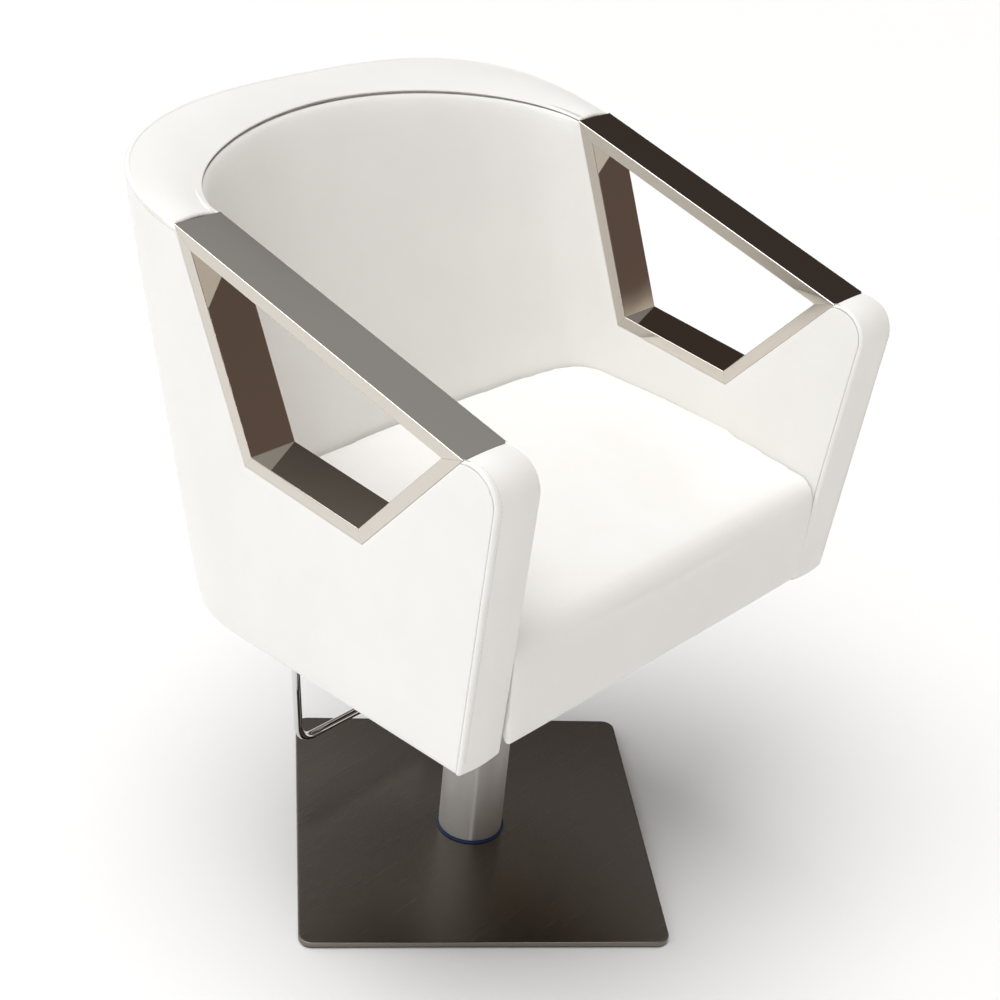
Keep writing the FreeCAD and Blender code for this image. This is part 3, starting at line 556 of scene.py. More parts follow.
@dataclass
class TubShape:
    """The tub's outer and inner faces, its rim and its side view, in metres."""

    half: float = 0.3271
    splay: float = 0.0171
    draft: float = 0.0316
    reference: float = 0.528
    low: float = 0.385
    high: float = 0.860
    wall: float = 0.060
    rim_y: float = 0.1735
    rim_z: float = 0.8334
    rim_slope: float = 0.169
    rim_curve: float = 0.43
    strip: float = 0.005
    band: float = 0.0078
    frame_top_back: Point = (0.1735, 0.8334)
    frame_top_front: Point = (-0.2229, 0.7317)
    frame_toe: Point = (-0.1008, 0.5877)
    frame_heel: Point = (0.0694, 0.6032)
    front_low: Point = (-0.2445, 0.385)
    front_high: Point = (-0.2675, 0.694)
    front_shoulder: Point = (-0.2575, 0.7205)
    sections: dict[Face, list[PlanSection]] = field(init=False)

    def __post_init__(self) -> None:
        """Work out both faces' plan sections: each measure is its low value plus its growth upwards."""
        outer = []
        for z in (self.low - 0.010, 0.900):
            share = (z - self.low) / (self.high - self.low)
            outer.append(PlanSection(z, 0.079 + share * 0.105, 0.172 + share * 0.013, 2.76, 0.0))
        inner = []
        for z in (self.low - 0.010, 0.530, 0.900):
            share = max(0.0, (z - 0.530) / 0.350)
            inner.append(PlanSection(z, 0.060 + share * 0.124, 0.085 + share * 0.055,
                                     3.6 - 1.6 * share, self.wall))
        self.sections = {Face.OUTER: outer, Face.INNER: inner}

    def flat_half(self, y: float, z: float) -> float:
        """Half the width of the flat side's outer face."""
        return self.half + self.splay * y + self.draft * (z - self.reference)

    def section_point(self, section: PlanSection, angle: float) -> np.ndarray:
        """A point of a section's back curve; angle runs from 0 at +X to pi at -X."""
        half = self.flat_half(section.start, section.z) - section.inset
        cosine, sine = math.cos(angle), abs(math.sin(angle))
        across = half * math.copysign(abs(cosine) ** (2 / section.power), cosine)
        return np.array([across, section.start + section.depth * sine ** (2 / section.power), section.z])

    def curve_point(self, face: Face, angle: float, z: float) -> np.ndarray:
        """A point of the rounded back at a height.

        Args:
            face: the outer or the inner face.
            angle: 0 at the +X end of the curve, pi at the -X end.
            z: the height.

        Returns:
            The point (x, y, z).
        """
        sections = self.sections[face]
        index = 0
        while index < len(sections) - 2 and z > sections[index + 1].z:
            index += 1
        low, high = sections[index], sections[index + 1]
        share = (z - low.z) / (high.z - low.z)
        first, last = self.section_point(low, angle), self.section_point(high, angle)
        return first + (last - first) * share

    def side_x(self, face: Face, y: float, z: float) -> float:
        """Half width of a face at a place of the side view, also where the back has begun to curve."""
        inset = 0.0 if face is Face.OUTER else self.wall
        if y <= self.curve_point(face, 0.0, z)[1]:
            return self.flat_half(y, z) - inset
        return float(self.curve_point(face, self.angle_at(face, y, z), z)[0])

    def angle_at(self, face: Face, y: float, z: float) -> float:
        """The smallest angle of the back curve that lies behind y at a height."""
        return smallest_angle(lambda angle: self.curve_point(face, angle, z)[1] >= y)

    def rim(self, y: float) -> float:
        """Height of the rim's top line."""
        run = y - self.rim_y
        return self.rim_z + self.rim_slope * run + self.rim_curve * run ** 2

    def rim_curve_point(self, face: Face, angle: float, drop: float) -> np.ndarray:
        """The point of a face that lies a drop below the rim line, at an angle of the back curve."""
        z = self.rim(0.3) - drop
        for _ in range(12):
            z = self.rim(float(self.curve_point(face, angle, z)[1])) - drop
        return self.curve_point(face, angle, z)

    def start_angle(self, face: Face, y: float) -> float:
        """The smallest angle of the back curve at which the rim lies behind a given y."""
        return smallest_angle(lambda angle: self.rim_curve_point(face, angle, 0.0)[1] >= y)

    def front_edge(self, strip: float, steps: int) -> np.ndarray:
        """The front's edge in the side view, drawn in by strip, from the bottom up to the arm frame.

        Args:
            strip: how far the edge lies behind the front.
            steps: number of points.

        Returns:
            One (y, z) row per point, evenly spaced.
        """
        low = np.array(self.front_low) + (strip, 0)
        high = np.array(self.front_high) + (strip, 0)
        shoulder = np.array(self.front_shoulder) + (0.8 * strip, -0.45 * strip)
        top, toe = np.array(self.frame_top_front), np.array(self.frame_toe)
        crown = top + (toe - top) / np.linalg.norm(toe - top) * strip * 1.2
        arc = arc_points(high, shoulder, crown, 24)
        path = np.vstack([np.linspace(low, high, 30)[:-1], arc])
        return resample(path, np.linspace(0, 1, steps))


def smallest_angle(reached: Callable[[float], bool]) -> float:
    """Halve the quarter turn thirty times to find where a condition starts to hold."""
    low, high = 0.0, math.pi / 2
    for _ in range(30):
        middle = (low + high) / 2
        if reached(middle):
            high = middle
        else:
            low = middle
    return low


def arc_points(first: np.ndarray, middle: np.ndarray, last: np.ndarray, count: int) -> np.ndarray:
    """Points along the arc through three places of a plane."""
    matrix = 2 * np.array([middle - first, last - first])
    right = np.array([middle @ middle - first @ first, last @ last - first @ first])
    centre = np.linalg.solve(matrix, right)
    angles = [math.atan2(*(p - centre)[::-1]) for p in (first, middle, last)]
    start, between, end = np.unwrap(angles)
    if not min(start, end) <= between <= max(start, end):
        end += -math.copysign(2 * math.pi, end - start)
    radius = np.linalg.norm(first - centre)
    return np.array([centre + radius * np.array([math.cos(a), math.sin(a)])
                     for a in np.linspace(start, end, count)])


def resample(path: np.ndarray, places: np.ndarray) -> np.ndarray:
    """Points of a polyline at fractions of its length."""
    steps = np.linalg.norm(np.diff(path, axis=0), axis=1)
    run = np.concatenate([[0], np.cumsum(steps)])
    run /= run[-1]
    return np.column_stack([np.interp(places, run, path[:, i]) for i in range(path.shape[1])])


# ------------------------------------------------------------------ tub upholstery
PANEL_LENGTH = 0.3


@dataclass
class TubPanel:
    """One face of the tub's upholstery, from arm front to arm front round the back."""

    shape: TubShape
    face: Face
    bottom: float
    rim_drop: float
    top_reach: float = 0.003
    top_sink: float = 0.003
    frame_roll: float = 0.0012
    seam_roll: float = 0.0014
    bottom_roll: float = 0.006
    puff: float = 0.0025
    puff_reach: float = 0.03
    depth: float = 0.008
    heel_foot: float = 0.035
    rear_gap: float = 0.004
    joint_gap: float = 0.003
    blend_columns: int = 5
    rows: int = 44
    back_columns: int = 72

    def side_columns(self) -> list[np.ndarray]:
        """Columns of one flat side in the side view, from the front edge to where the back starts.

        Returns:
            One array of (y, z) rows per column, from the bottom up.
        """
        shape = self.shape
        rows = graded(PANEL_LENGTH, self.rows)
        edge = shape.front_edge(shape.strip, 60)
        start = np.interp(self.bottom, edge[:, 1], edge[:, 0])
        edge = np.vstack([[start, self.bottom], edge[edge[:, 1] > self.bottom + 1e-6]])
        front = resample(edge, rows)
        toe, heel = np.array(shape.frame_toe), np.array(shape.frame_heel)
        back = np.array(shape.frame_top_back)
        seat_back = back + (heel - back) / np.linalg.norm(heel - back) * self.rim_drop * 1.02
        foot_heel = np.array([self.heel_foot, self.bottom])
        columns = []
        width = toe[0] - start
        foot_toe = np.array([toe[0], self.bottom])
        toe_line = foot_toe + (toe - foot_toe) * rows[:, None]
        for share in graded(width, 12)[:-1]:
            columns.append(front * (1 - share) + toe_line * share)
        heel_line = foot_heel + (heel - foot_heel) * rows[:, None]
        curve_start = shape.curve_point(self.face, 0.0, self.bottom)[1]
        foot_seam = np.array([curve_start - self.rear_gap, self.bottom])
        last_line = foot_seam + (seat_back - foot_seam) * rows[:, None]
        for first, last, count in ((toe_line, heel_line, 9), (heel_line, last_line, 8)):
            for share in np.linspace(0, 1, count, endpoint=False):
                columns.append(first * (1 - share) + last * share)
        columns.append(last_line)
        return columns

    def points(self) -> np.ndarray:
        """All points of the face: columns from the +X arm round the back to the -X arm."""
        shape, face = self.shape, self.face
        rows = graded(PANEL_LENGTH, self.rows)
        left = np.array([[(shape.side_x(face, y, z), y, z) for y, z in column]
                         for column in self.side_columns()])
        rear = []
        first = shape.start_angle(face, shape.rim_y + self.rear_gap)
        starts = [shape.angle_at(face, y + self.joint_gap, z) for _, y, z in left[-1]]
        for turn in np.linspace(0, 1, self.back_columns + 1):
            angle = first + turn * (math.pi - 2 * first)
            top = shape.rim_curve_point(face, angle, self.rim_drop)[2]
            rear.append([shape.curve_point(face, start + turn * (math.pi - 2 * start),
                                           self.bottom + (top - self.bottom) * row)
                         for row, start in zip(rows, starts)])
        return np.concatenate([left, np.array(rear), left[::-1] * (-1, 1, 1)])

    def build(self, name: str) -> bpy.types.Object:
        """Make the panel with rolled seams and a slight fullness, as a closed shell."""
        points = self.points()
        normal = grid_normals(points)
        if self.face is Face.INNER:
            normal = -normal
        outward_sign = 1.0 if self.face is Face.OUTER else -1.0
        middle = points.shape[0] // 2
        if normal[middle, 5, 1] * outward_sign < 0:
            normal = -normal
        up = grid_lengths(points, 1)
        down = up[:, -1:] - up
        along = grid_lengths(points, 0)
        front = np.minimum(along, along[-1:] - along)
        columns = points.shape[0]
        side = len(self.side_columns())
        place = np.arange(columns)
        inward = np.minimum(place, columns - 1 - place) - side + 1
        behind = np.clip(inward / self.blend_columns, 0, 1)[:, None]
        top = (roll_in(down, self.frame_roll) * (1 - behind)
               + roll_in(down, self.top_reach, self.top_sink) * behind)
        sink = np.maximum.reduce([roll_in(front, self.seam_roll), top, roll_in(up, self.bottom_roll)])
        edge = np.minimum(np.minimum(front, down), up)
        full = self.puff * (1 - np.exp(-edge / self.puff_reach))
        return padded_panel(name, points + normal * (full - sink)[:, :, None], normal, self.depth)


@dataclass
class RimBand:
    """The padded band over the tub's rim, from one arm frame round the back to the other."""

    shape: TubShape
    outer_round: float = 0.0065
    inner_round: float = 0.002
    inner_margin: float = 0.0052
    crown: float = 0.0025
    seam_roll: float = 0.0008
    end_roll: float = 0.0015
    start_gap: float = 0.004
    depth: float = 0.008
    columns: int = 96

    def profile(self, wall: float) -> list[tuple[float, float]]:
        """Cross-section from the outer seam over the top to the inner seam.

        Args:
            wall: thickness of the wall here.

        Returns:
            (distance in from the outer face, drop below the rim line) pairs.
        """
        big, small = self.outer_round, self.inner_round
        points = [(0.0, float(drop)) for drop in np.linspace(self.shape.band, big, 5)[:-1]]
        points += [(big * (1 - math.cos(a)), big * (1 - math.sin(a)))
                   for a in np.linspace(0, math.pi / 2, 10)]
        flat_end = wall - self.inner_margin
        span = flat_end - big
        points += [(big + span * t, -self.crown * math.sin(math.pi * t))
                   for t in 1 - graded(span, 14)[::-1][1:-1]]
        points += [(flat_end + small * math.sin(a), small * (1 - math.cos(a)))
                   for a in np.linspace(0, math.pi / 3, 8)]
        return points

    def station(self, outer: Callable[[float], np.ndarray], inner: Callable[[float], np.ndarray]
                ) -> list[np.ndarray]:
        """One cross-section's points.

        Args:
            outer: gives the outer face's point for a drop below the rim.
            inner: the same for the inner face.

        Returns:
            The section's points in space.
        """
        wall = float(np.linalg.norm((outer(0.0) - inner(0.0))[:2]))
        return [outer(drop) * (1 - across / wall) + inner(drop) * (across / wall)
                for across, drop in self.profile(wall)]

    def build(self, name: str) -> bpy.types.Object:
        """Make the band as a closed padded shell."""
        shape = self.shape
        heel, back = np.array(shape.frame_heel), np.array(shape.frame_top_back)
        slope = (back[0] - heel[0]) / (back[1] - heel[1])

        def end(face: Face) -> Callable[[float], np.ndarray]:
            """Points of a face along the arm frame's rear bar."""
            def at(drop: float) -> np.ndarray:
                """The point that lies a drop below the rim, on the bar's line."""
                y, z = back[0] - slope * drop, back[1] - drop
                return np.array([shape.side_x(face, y, z), y, z])
            return at

        first = {face: shape.start_angle(face, back[0] + self.start_gap) for face in Face}

        def around(face: Face, turn: float) -> Callable[[float], np.ndarray]:
            """Points of a face at a share of the way round the back."""
            angle = first[face] + turn * (math.pi - 2 * first[face])
            return lambda drop: shape.rim_curve_point(face, angle, drop)

        sections = [self.station(end(Face.OUTER), end(Face.INNER))]
        for turn in np.linspace(0.0, 1.0, self.columns + 1):
            sections.append(self.station(around(Face.OUTER, turn), around(Face.INNER, turn)))
        last = np.array(sections[0]) * (-1, 1, 1)
        points = np.array(sections + [last])
        up = grid_lengths(points, 1)
        down = up[:, -1:] - up
        normal = grid_normals(points)
        middle = points.shape[0] // 2
        if normal[middle, points.shape[1] // 2, 2] < 0:
            normal = -normal
        sink = np.maximum(roll_in(up, self.seam_roll), roll_in(down, self.seam_roll))
        along = grid_lengths(points, 0)
        ends = np.minimum(along, along[-1:] - along)
        sink = np.maximum(sink, roll_in(ends, self.end_roll))
        return padded_panel(name, points - normal * sink[:, :, None], normal, self.depth)


@dataclass
class FrontStrip:
    """The boxing strip on an arm's front, from the bottom over the rounded shoulder to the frame."""

    shape: TubShape
    side: Side
    corner: float = 0.0036
    crown: float = 0.0022
    seam_roll: float = 0.0014
    foot_roll: float = 0.004
    frame_roll: float = 0.0012
    depth: float = 0.0045
    length: float = 0.38
    stations: int = 90

    def build(self, name: str) -> bpy.types.Object:
        """Make the strip as a closed padded shell."""
        shape = self.shape
        places = graded(self.length, self.stations)
        front = resample(shape.front_edge(0.0, 200), places)
        rear = resample(shape.front_edge(shape.strip, 200), places)
        bend = self.corner / shape.wall
        reach = self.corner / shape.strip
        profile = [(0.0, step) for step in (0.0, 0.03, 0.08, 0.16)]
        profile += [(bend * (1 - math.cos(a)), 1 - reach * (1 - math.sin(a)))
                    for a in np.linspace(0, math.pi / 2, 9)]
        profile += [(t, 1.0 + self.crown / shape.strip * math.sin(math.pi * (t - bend) / (1 - 2 * bend)))
                    for t in np.linspace(bend, 1 - bend, 11)[1:-1]]
        profile += [(1 - across, ahead) for across, ahead in reversed(profile[:13])]
        sections = []
        for near, far in zip(front, rear):
            row = []
            for across, ahead in profile:
                y, z = far + (near - far) * ahead
                outer, inner = shape.side_x(Face.OUTER, y, z), shape.side_x(Face.INNER, y, z)
                row.append((self.side * (outer + (inner - outer) * across), y, z))
            sections.append(row)
        points = np.array(sections)
        up = grid_lengths(points, 1)
        down = up[:, -1:] - up
        along = grid_lengths(points, 0)
        normal = grid_normals(points)
        if normal[20, points.shape[1] // 2, 1] > 0:
            normal = -normal
        sink = np.maximum.reduce([roll_in(up, self.seam_roll), roll_in(down, self.seam_roll),
                                  roll_in(along, self.foot_roll),
                                  roll_in(along[-1:] - along, self.frame_roll)])
        return padded_panel(name, points - normal * sink[:, :, None], normal, self.depth)


# ------------------------------------------------------------------ arm frames
@dataclass
class ArmFrame:
    """A welded frame of four mitred, mirror-polished rectangular tubes."""

    shape: TubShape
    side: Side
    bar: float = 0.0145
    edge: float = 0.0011
    mitre_share: float = 0.22

    def corners(self, inset: float) -> list[np.ndarray]:
        """Corners of the side view, drawn in by inset: back top, front top, toe, heel."""
        shape = self.shape
        outline = [np.array(p) for p in (shape.frame_top_back, shape.frame_top_front,
                                         shape.frame_toe, shape.frame_heel)]
        if inset == 0:
            return outline
        drawn = []
        for index, corner in enumerate(outline):
            before, after = outline[index - 1], outline[(index + 1) % 4]
            arms = [(p - corner) / np.linalg.norm(p - corner) for p in (before, after)]
            half = math.acos(float(np.clip(arms[0] @ arms[1], -1, 1))) / 2
            middle = (arms[0] + arms[1]) / np.linalg.norm(arms[0] + arms[1])
            drawn.append(corner + middle * inset / math.sin(half))
        return drawn

    def build(self, name: str) -> bpy.types.Object:
        """Make the four bars with fine bevelled edges and barely visible mitre joints."""
        outline, window = self.corners(0.0), self.corners(self.bar)
        points, faces, weights = [], [], {}
        for index in range(4):
            after = (index + 1) % 4
            base = len(points)
            for face in (Face.OUTER, Face.INNER):
                for y, z in (outline[index], outline[after], window[after], window[index]):
                    points.append((self.side * self.shape.side_x(face, y, z), y, z))
            outer, inner = [base + k for k in range(4)], [base + 4 + k for k in range(4)]
            faces += [tuple(outer), tuple(reversed(inner))]
            faces += [(outer[k], inner[k], inner[(k + 1) % 4], outer[(k + 1) % 4]) for k in range(4)]
            for ring in (outer, inner):
                for k in (0, 2):
                    weights[frozenset((ring[k], ring[k + 1]))] = 1.0
                for k in (1, 3):
                    weights[frozenset((ring[k], ring[(k + 1) % 4]))] = self.mitre_share
            for k in range(4):
                weights[frozenset((outer[k], inner[k]))] = self.mitre_share
        piece = mesh_object(name, np.array(points), faces, smooth=False)
        outward(piece, 0.0)
        attribute = piece.data.attributes.new("bevel_weight_edge", "FLOAT", "EDGE")
        for edge in piece.data.edges:
            attribute.data[edge.index].value = weights[frozenset(edge.vertices)]
        bevel = piece.modifiers.new("edges", "BEVEL")
        bevel.limit_method = "WEIGHT"
        bevel.width = self.edge
        bevel.segments = 3
        bevel.harden_normals = False
        apply_modifiers(piece)
        crease_shading(piece, 32.0)
        level = piece.modifiers.new("level", "WEIGHTED_NORMAL")
        level.keep_sharp = True
        level.weight = 100
        apply_modifiers(piece)
        return piece


# ------------------------------------------------------------------ seat cushion
@dataclass
class SeatPad:
    """The seat cushion: foam block under stretched leatherette, blown up a little by cloth pressure."""

    shape: TubShape
    node: str = "seat_cushion"
    voxel: float = 0.0055
    shrink: float = 0.0030
    pressure: float = 2.0
    frames: int = 20
    travel: float = 0.0016
    spread: float = 1.012
    side_gap: float = 0.0026
    board_gap: float = 0.0006
    front_lap: float = 0.004

    def start_shape(self, name: str) -> bpy.types.Object:
        """A slightly smaller, evenly meshed copy of the cushion's block."""
        source = frame["nodes"][self.node]
        mesh = source.data.copy()
        mesh.transform(source.matrix_world)
        piece = bpy.data.objects.new(name, mesh)
        bpy.context.scene.collection.objects.link(piece)
        bm = bmesh.new()
        bm.from_mesh(mesh)
        bmesh.ops.remove_doubles(bm, verts=bm.verts, dist=1e-5)
        bm.to_mesh(mesh)
        bm.free()
        remesh = piece.modifiers.new("even", "REMESH")
        remesh.mode = "VOXEL"
        remesh.voxel_size = self.voxel
        smooth = piece.modifiers.new("soften", "SMOOTH")
        smooth.factor = 0.5
        smooth.iterations = 3
        apply_modifiers(piece)
        normals = np.array([v.normal for v in piece.data.vertices])
        points = np.array([v.co for v in piece.data.vertices]) - normals * self.shrink
        piece.data.vertices.foreach_set("co", points.ravel())
        piece.data.update()
        return piece

    def inflate(self, piece: bpy.types.Object) -> None:
        """Blow the block up under cloth pressure and cap how far any point may move."""
        rest = np.array([v.co for v in piece.data.vertices])
        cloth = piece.modifiers.new("cloth", "CLOTH")
        cloth.settings.quality = 4
        cloth.settings.use_pressure = True
        cloth.settings.uniform_pressure_force = self.pressure
        cloth.settings.tension_stiffness = 12
        cloth.settings.compression_stiffness = 12
        cloth.settings.bending_stiffness = 2.0
        cloth.settings.effector_weights.gravity = 0
        cloth.collision_settings.use_collision = False
        cloth.point_cache.frame_start = 1
        cloth.point_cache.frame_end = self.frames
        scene = bpy.context.scene
        for number in range(1, self.frames + 1):
            scene.frame_set(number)
        apply_modifiers(piece)
        moved = np.array([v.co for v in piece.data.vertices]) - rest
        length = np.linalg.norm(moved, axis=1, keepdims=True)
        capped = rest + moved * np.minimum(1.0, self.travel / np.maximum(length, 1e-9))
        piece.data.vertices.foreach_set("co", capped.ravel())
        scene.frame_set(1)

    def settle(self, piece: bpy.types.Object) -> None:
        """Keep the pad off the arms, the board and the floor of the tub."""
        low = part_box(self.node)[0]
        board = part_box("seat_board")[1][2]
        points = np.array([v.co for v in piece.data.vertices])
        for index, (x, y, z) in enumerate(points):
            limit = self.shape.side_x(Face.INNER, y, z) - self.side_gap
            points[index, 0] = max(-limit, min(limit, x * self.spread))
            if y > self.shape.front_low[0] + self.shape.strip - self.front_lap:
                points[index, 2] = max(z, board + self.board_gap)
            points[index, 2] = max(points[index, 2], low[2])
        piece.data.vertices.foreach_set("co", points.ravel())
        piece.data.update()

    def build(self, name: str) -> bpy.types.Object:
        """Make the finished pad."""
        piece = self.start_shape(name)
        self.inflate(piece)
        self.settle(piece)
        finer = piece.modifiers.new("finer", "SUBSURF")
        finer.levels = 1
        finer.render_levels = 1
        apply_modifiers(piece)
        for polygon in piece.data.polygons:
            polygon.use_smooth = True
        return piece


# ------------------------------------------------------------------ base, column and lever
@dataclass
class PlateCover:
    """The folded stainless cover of the floor plate, with eased edges and the column's hole."""

    half: float = 0.220
    corner: float = 0.016
    low: float = 0.003
    sheet_low: float = 0.0078
    top: float = 0.009
    sheet: float = 0.0012
    edge: float = 0.0012
    hole: float = 0.0373
    per_corner: int = 13
    per_side: int = 19

    def ring(self, inset: float, z: float) -> np.ndarray:
        """A rounded-square loop drawn in by inset at a height, turned as the plate is."""
        corner = max(self.corner - inset, 0.0005)
        loop = rounded_square(self.half - inset, corner, self.per_corner, self.per_side)
        cosine, sine = math.cos(PLATE_TURN), math.sin(PLATE_TURN)
        turned = loop @ np.array([[cosine, sine], [-sine, cosine]])
        return np.column_stack([turned, np.full(len(turned), z)])

    def inner_ring(self, share: float, z: float) -> np.ndarray:
        """A loop between the hole (0) and the cover's outline (1)."""
        outline = self.ring(self.edge, z)
        directions = np.arctan2(outline[:, 1], outline[:, 0])
        circle = np.column_stack([np.cos(directions) * self.hole, np.sin(directions) * self.hole,
                                  np.full(len(outline), z)])
        return circle * (1 - share) + outline * share

    def build(self, name: str) -> bpy.types.Object:
        """Make the cover as one closed shell."""
        loops = [self.ring(self.sheet, self.low), self.ring(0.0002, self.low),
                 self.ring(0.0, self.low + 0.0002)]
        loops += [self.ring(self.edge * (1 - math.cos(a)), self.top - self.edge * (1 - math.sin(a)))
                  for a in np.linspace(0, math.pi / 2, 6)]
        loops += [self.inner_ring(share, self.top) for share in (0.99, 0.75, 0.5, 0.25, 0.0)]
        loops += [self.inner_ring(0.0, self.sheet_low), self.inner_ring(0.5, self.sheet_low),
                  self.inner_ring(0.9, self.sheet_low), self.ring(self.sheet, self.sheet_low)]
        points = np.array(loops).transpose(1, 0, 2)
        piece = mesh_object(name, points.reshape(-1, 3), grid_faces(*points.shape[:2], True, True))
        outward(piece)
        crease_shading(piece, 40.0)
        return piece


@dataclass
class Column:
    """The chrome column tube and the dark blue seal ring at its foot."""

    outer: float = 0.040
    bore: float = 0.037
    low: float = 0.009
    top: float = 0.332
    ring: float = 0.043
    ring_height: float = 0.0025

    def build_tube(self, name: str) -> bpy.types.Object:
        """Make the tube with an eased upper edge."""
        profile = [(self.bore, self.low), (self.outer, self.low), (self.outer, self.top - 0.002),
                   (self.outer - 0.0005, self.top - 0.0008), (self.outer - 0.002, self.top),
                   (self.bore, self.top)]
        return lathe(name, profile, 128)

    def build_ring(self, name: str) -> bpy.types.Object:
        """Make the seal ring with a rounded lip."""
        inner = self.outer + 0.0001
        high = self.low + self.ring_height
        profile = [(inner, self.low), (self.ring, self.low), (self.ring, high - 0.0012),
                   (self.ring - 0.0004, high - 0.0004), (self.ring - 0.0012, high), (inner, high)]
        return lathe(name, profile, 128)


@dataclass
class FootLever:
    """The bent chrome rod of the foot lever: two arms, two legs and the foot bar."""

    half: float = 0.120
    radius: float = 0.0055
    bend: float = 0.022
    start_y: float = 0.074
    back_y: float = 0.226
    arm_z: float = 0.357
    pedal_y: float = 0.195
    pedal_z: float = 0.083
    around: int = 24

    def path(self) -> np.ndarray:
        """The rod's centre line: straight runs joined by tangent arcs."""
        half = self.half
        arm = [(self.start_y, self.arm_z), (self.back_y, self.arm_z), (self.pedal_y, self.pedal_z)]
        corners = [np.array((-half, y, z)) for y, z in arm] + [np.array((half, y, z)) for y, z in arm[::-1]]
        path = [corners[0]]
        for before, corner, after in zip(corners, corners[1:], corners[2:]):
            back = (before - corner) / np.linalg.norm(before - corner)
            ahead = (after - corner) / np.linalg.norm(after - corner)
            half_turn = math.acos(float(np.clip(back @ ahead, -1, 1))) / 2
            middle = (back + ahead) / np.linalg.norm(back + ahead)
            centre = corner + middle * self.bend / math.sin(half_turn)
            first = corner + back * self.bend / math.tan(half_turn) - centre
            last = corner + ahead * self.bend / math.tan(half_turn) - centre
            sweep = math.pi - 2 * half_turn
            for share in np.linspace(0, 1, 13):
                turn = (math.sin(sweep * (1 - share)) * first + math.sin(sweep * share) * last)
                path.append(centre + turn / math.sin(sweep))
        path.append(corners[-1])
        return np.array(path)

    def build(self, name: str) -> bpy.types.Object:
        """Make the rod with closed ends."""
        path = self.path()
        tangents = np.gradient(path, axis=0)
        tangents /= np.linalg.norm(tangents, axis=1, keepdims=True)
        side = np.array([1.0, 0.0, 0.0])
        points = []
        for place, tangent in zip(path, tangents):
            side = side - tangent * (side @ tangent)
            side /= np.linalg.norm(side)
            up = np.cross(tangent, side)
            for step in range(self.around):
                angle = 2 * math.pi * step / self.around
                points.append(place + self.radius * (math.cos(angle) * side + math.sin(angle) * up))
        caps = [tuple(range(self.around)), tuple(range(len(points) - self.around, len(points)))]
        piece = mesh_object(name, np.array(points), grid_faces(len(path), self.around, False, True) + caps)
        outward(piece)
        crease_shading(piece, 50.0)
        return piece


# ------------------------------------------------------------------ stitching
class Stitching:
    """Geometry nodes that lay even stitches along a path."""

    measures = {"Pitch": 0.005, "Stitch Length": 0.0035, "Thread Radius": 0.00035}

    def __init__(self, thread: bpy.types.Material) -> None:
        """Build the node tree once.

        Args:
            thread: the thread's material.
        """
        self.thread = thread
        self.tree = self.make_tree()

    def make_tree(self) -> bpy.types.NodeTree:
        """Build the tree: path to curve, even points, one short thread at each, laid along it."""
        tree = bpy.data.node_groups.new("topstitch", "GeometryNodeTree")
        face = tree.interface
        face.new_socket("Path", in_out="INPUT", socket_type="NodeSocketGeometry")
        for label, value in self.measures.items():
            face.new_socket(label, in_out="INPUT", socket_type="NodeSocketFloat").default_value = value
        face.new_socket("Thread", in_out="INPUT", socket_type="NodeSocketMaterial")
        face.new_socket("Stitches", in_out="OUTPUT", socket_type="NodeSocketGeometry")
        given = add_node(tree, "NodeGroupInput")
        curve = add_node(tree, "GeometryNodeMeshToCurve", {"Mesh": given.outputs["Path"]})
        even = add_node(tree, "GeometryNodeResampleCurve", {"Curve": curve.outputs[0]})
        self.set_mode(even, "LENGTH", "Length")
        tree.links.new(given.outputs["Pitch"], even.inputs["Length"])
        tangent = add_node(tree, "GeometryNodeInputTangent")
        turn = add_node(tree, "FunctionNodeAlignRotationToVector", {"Vector": tangent.outputs[0]}, axis="Z")
        thread = add_node(tree, "GeometryNodeMeshCylinder",
                          {"Vertices": 6, "Radius": given.outputs["Thread Radius"],
                           "Depth": given.outputs["Stitch Length"]})
        laid = add_node(tree, "GeometryNodeInstanceOnPoints",
                        {"Points": even.outputs[0], "Instance": thread.outputs[0],
                         "Rotation": turn.outputs[0]})
        real = add_node(tree, "GeometryNodeRealizeInstances", {"Geometry": laid.outputs[0]})
        dressed = add_node(tree, "GeometryNodeSetMaterial", {"Geometry": real.outputs[0],
                                                             "Material": given.outputs["Thread"]})
        add_node(tree, "NodeGroupOutput", {"Stitches": dressed.outputs[0]})
        return tree

    @staticmethod
    def set_mode(node: bpy.types.Node, mode: str, label: str) -> None:
        """Choose a resample node's mode, as a property or as a menu socket."""
        if hasattr(node, "mode"):
            node.mode = mode
        else:
            node.inputs["Mode"].default_value = label

    def lay(self, name: str, paths: Sequence[np.ndarray]) -> bpy.types.Object:
        """Lay stitches along several open paths.

        Args:
            name: the piece's name.
            paths: one array of points per path.

        Returns:
            One plain mesh of separate stitches.
        """
        points, edges = [], []
        for path in paths:
            base = len(points)
            points.extend(map(tuple, path))
            edges.extend((base + i, base + i + 1) for i in range(len(path) - 1))
        mesh = bpy.data.meshes.new(name)
        mesh.from_pydata(points, edges, [])
        piece = bpy.data.objects.new(name, mesh)
        bpy.context.scene.collection.objects.link(piece)
        modifier = piece.modifiers.new("topstitch", "NODES")
        modifier.node_group = self.tree
        sockets = {item.name: item.identifier for item in self.tree.interface.items_tree
                   if item.in_out == "INPUT"}
        for label, value in self.measures.items():
            modifier[sockets[label]] = value
        modifier[sockets["Thread"]] = self.thread
        apply_modifiers(piece)
        return piece


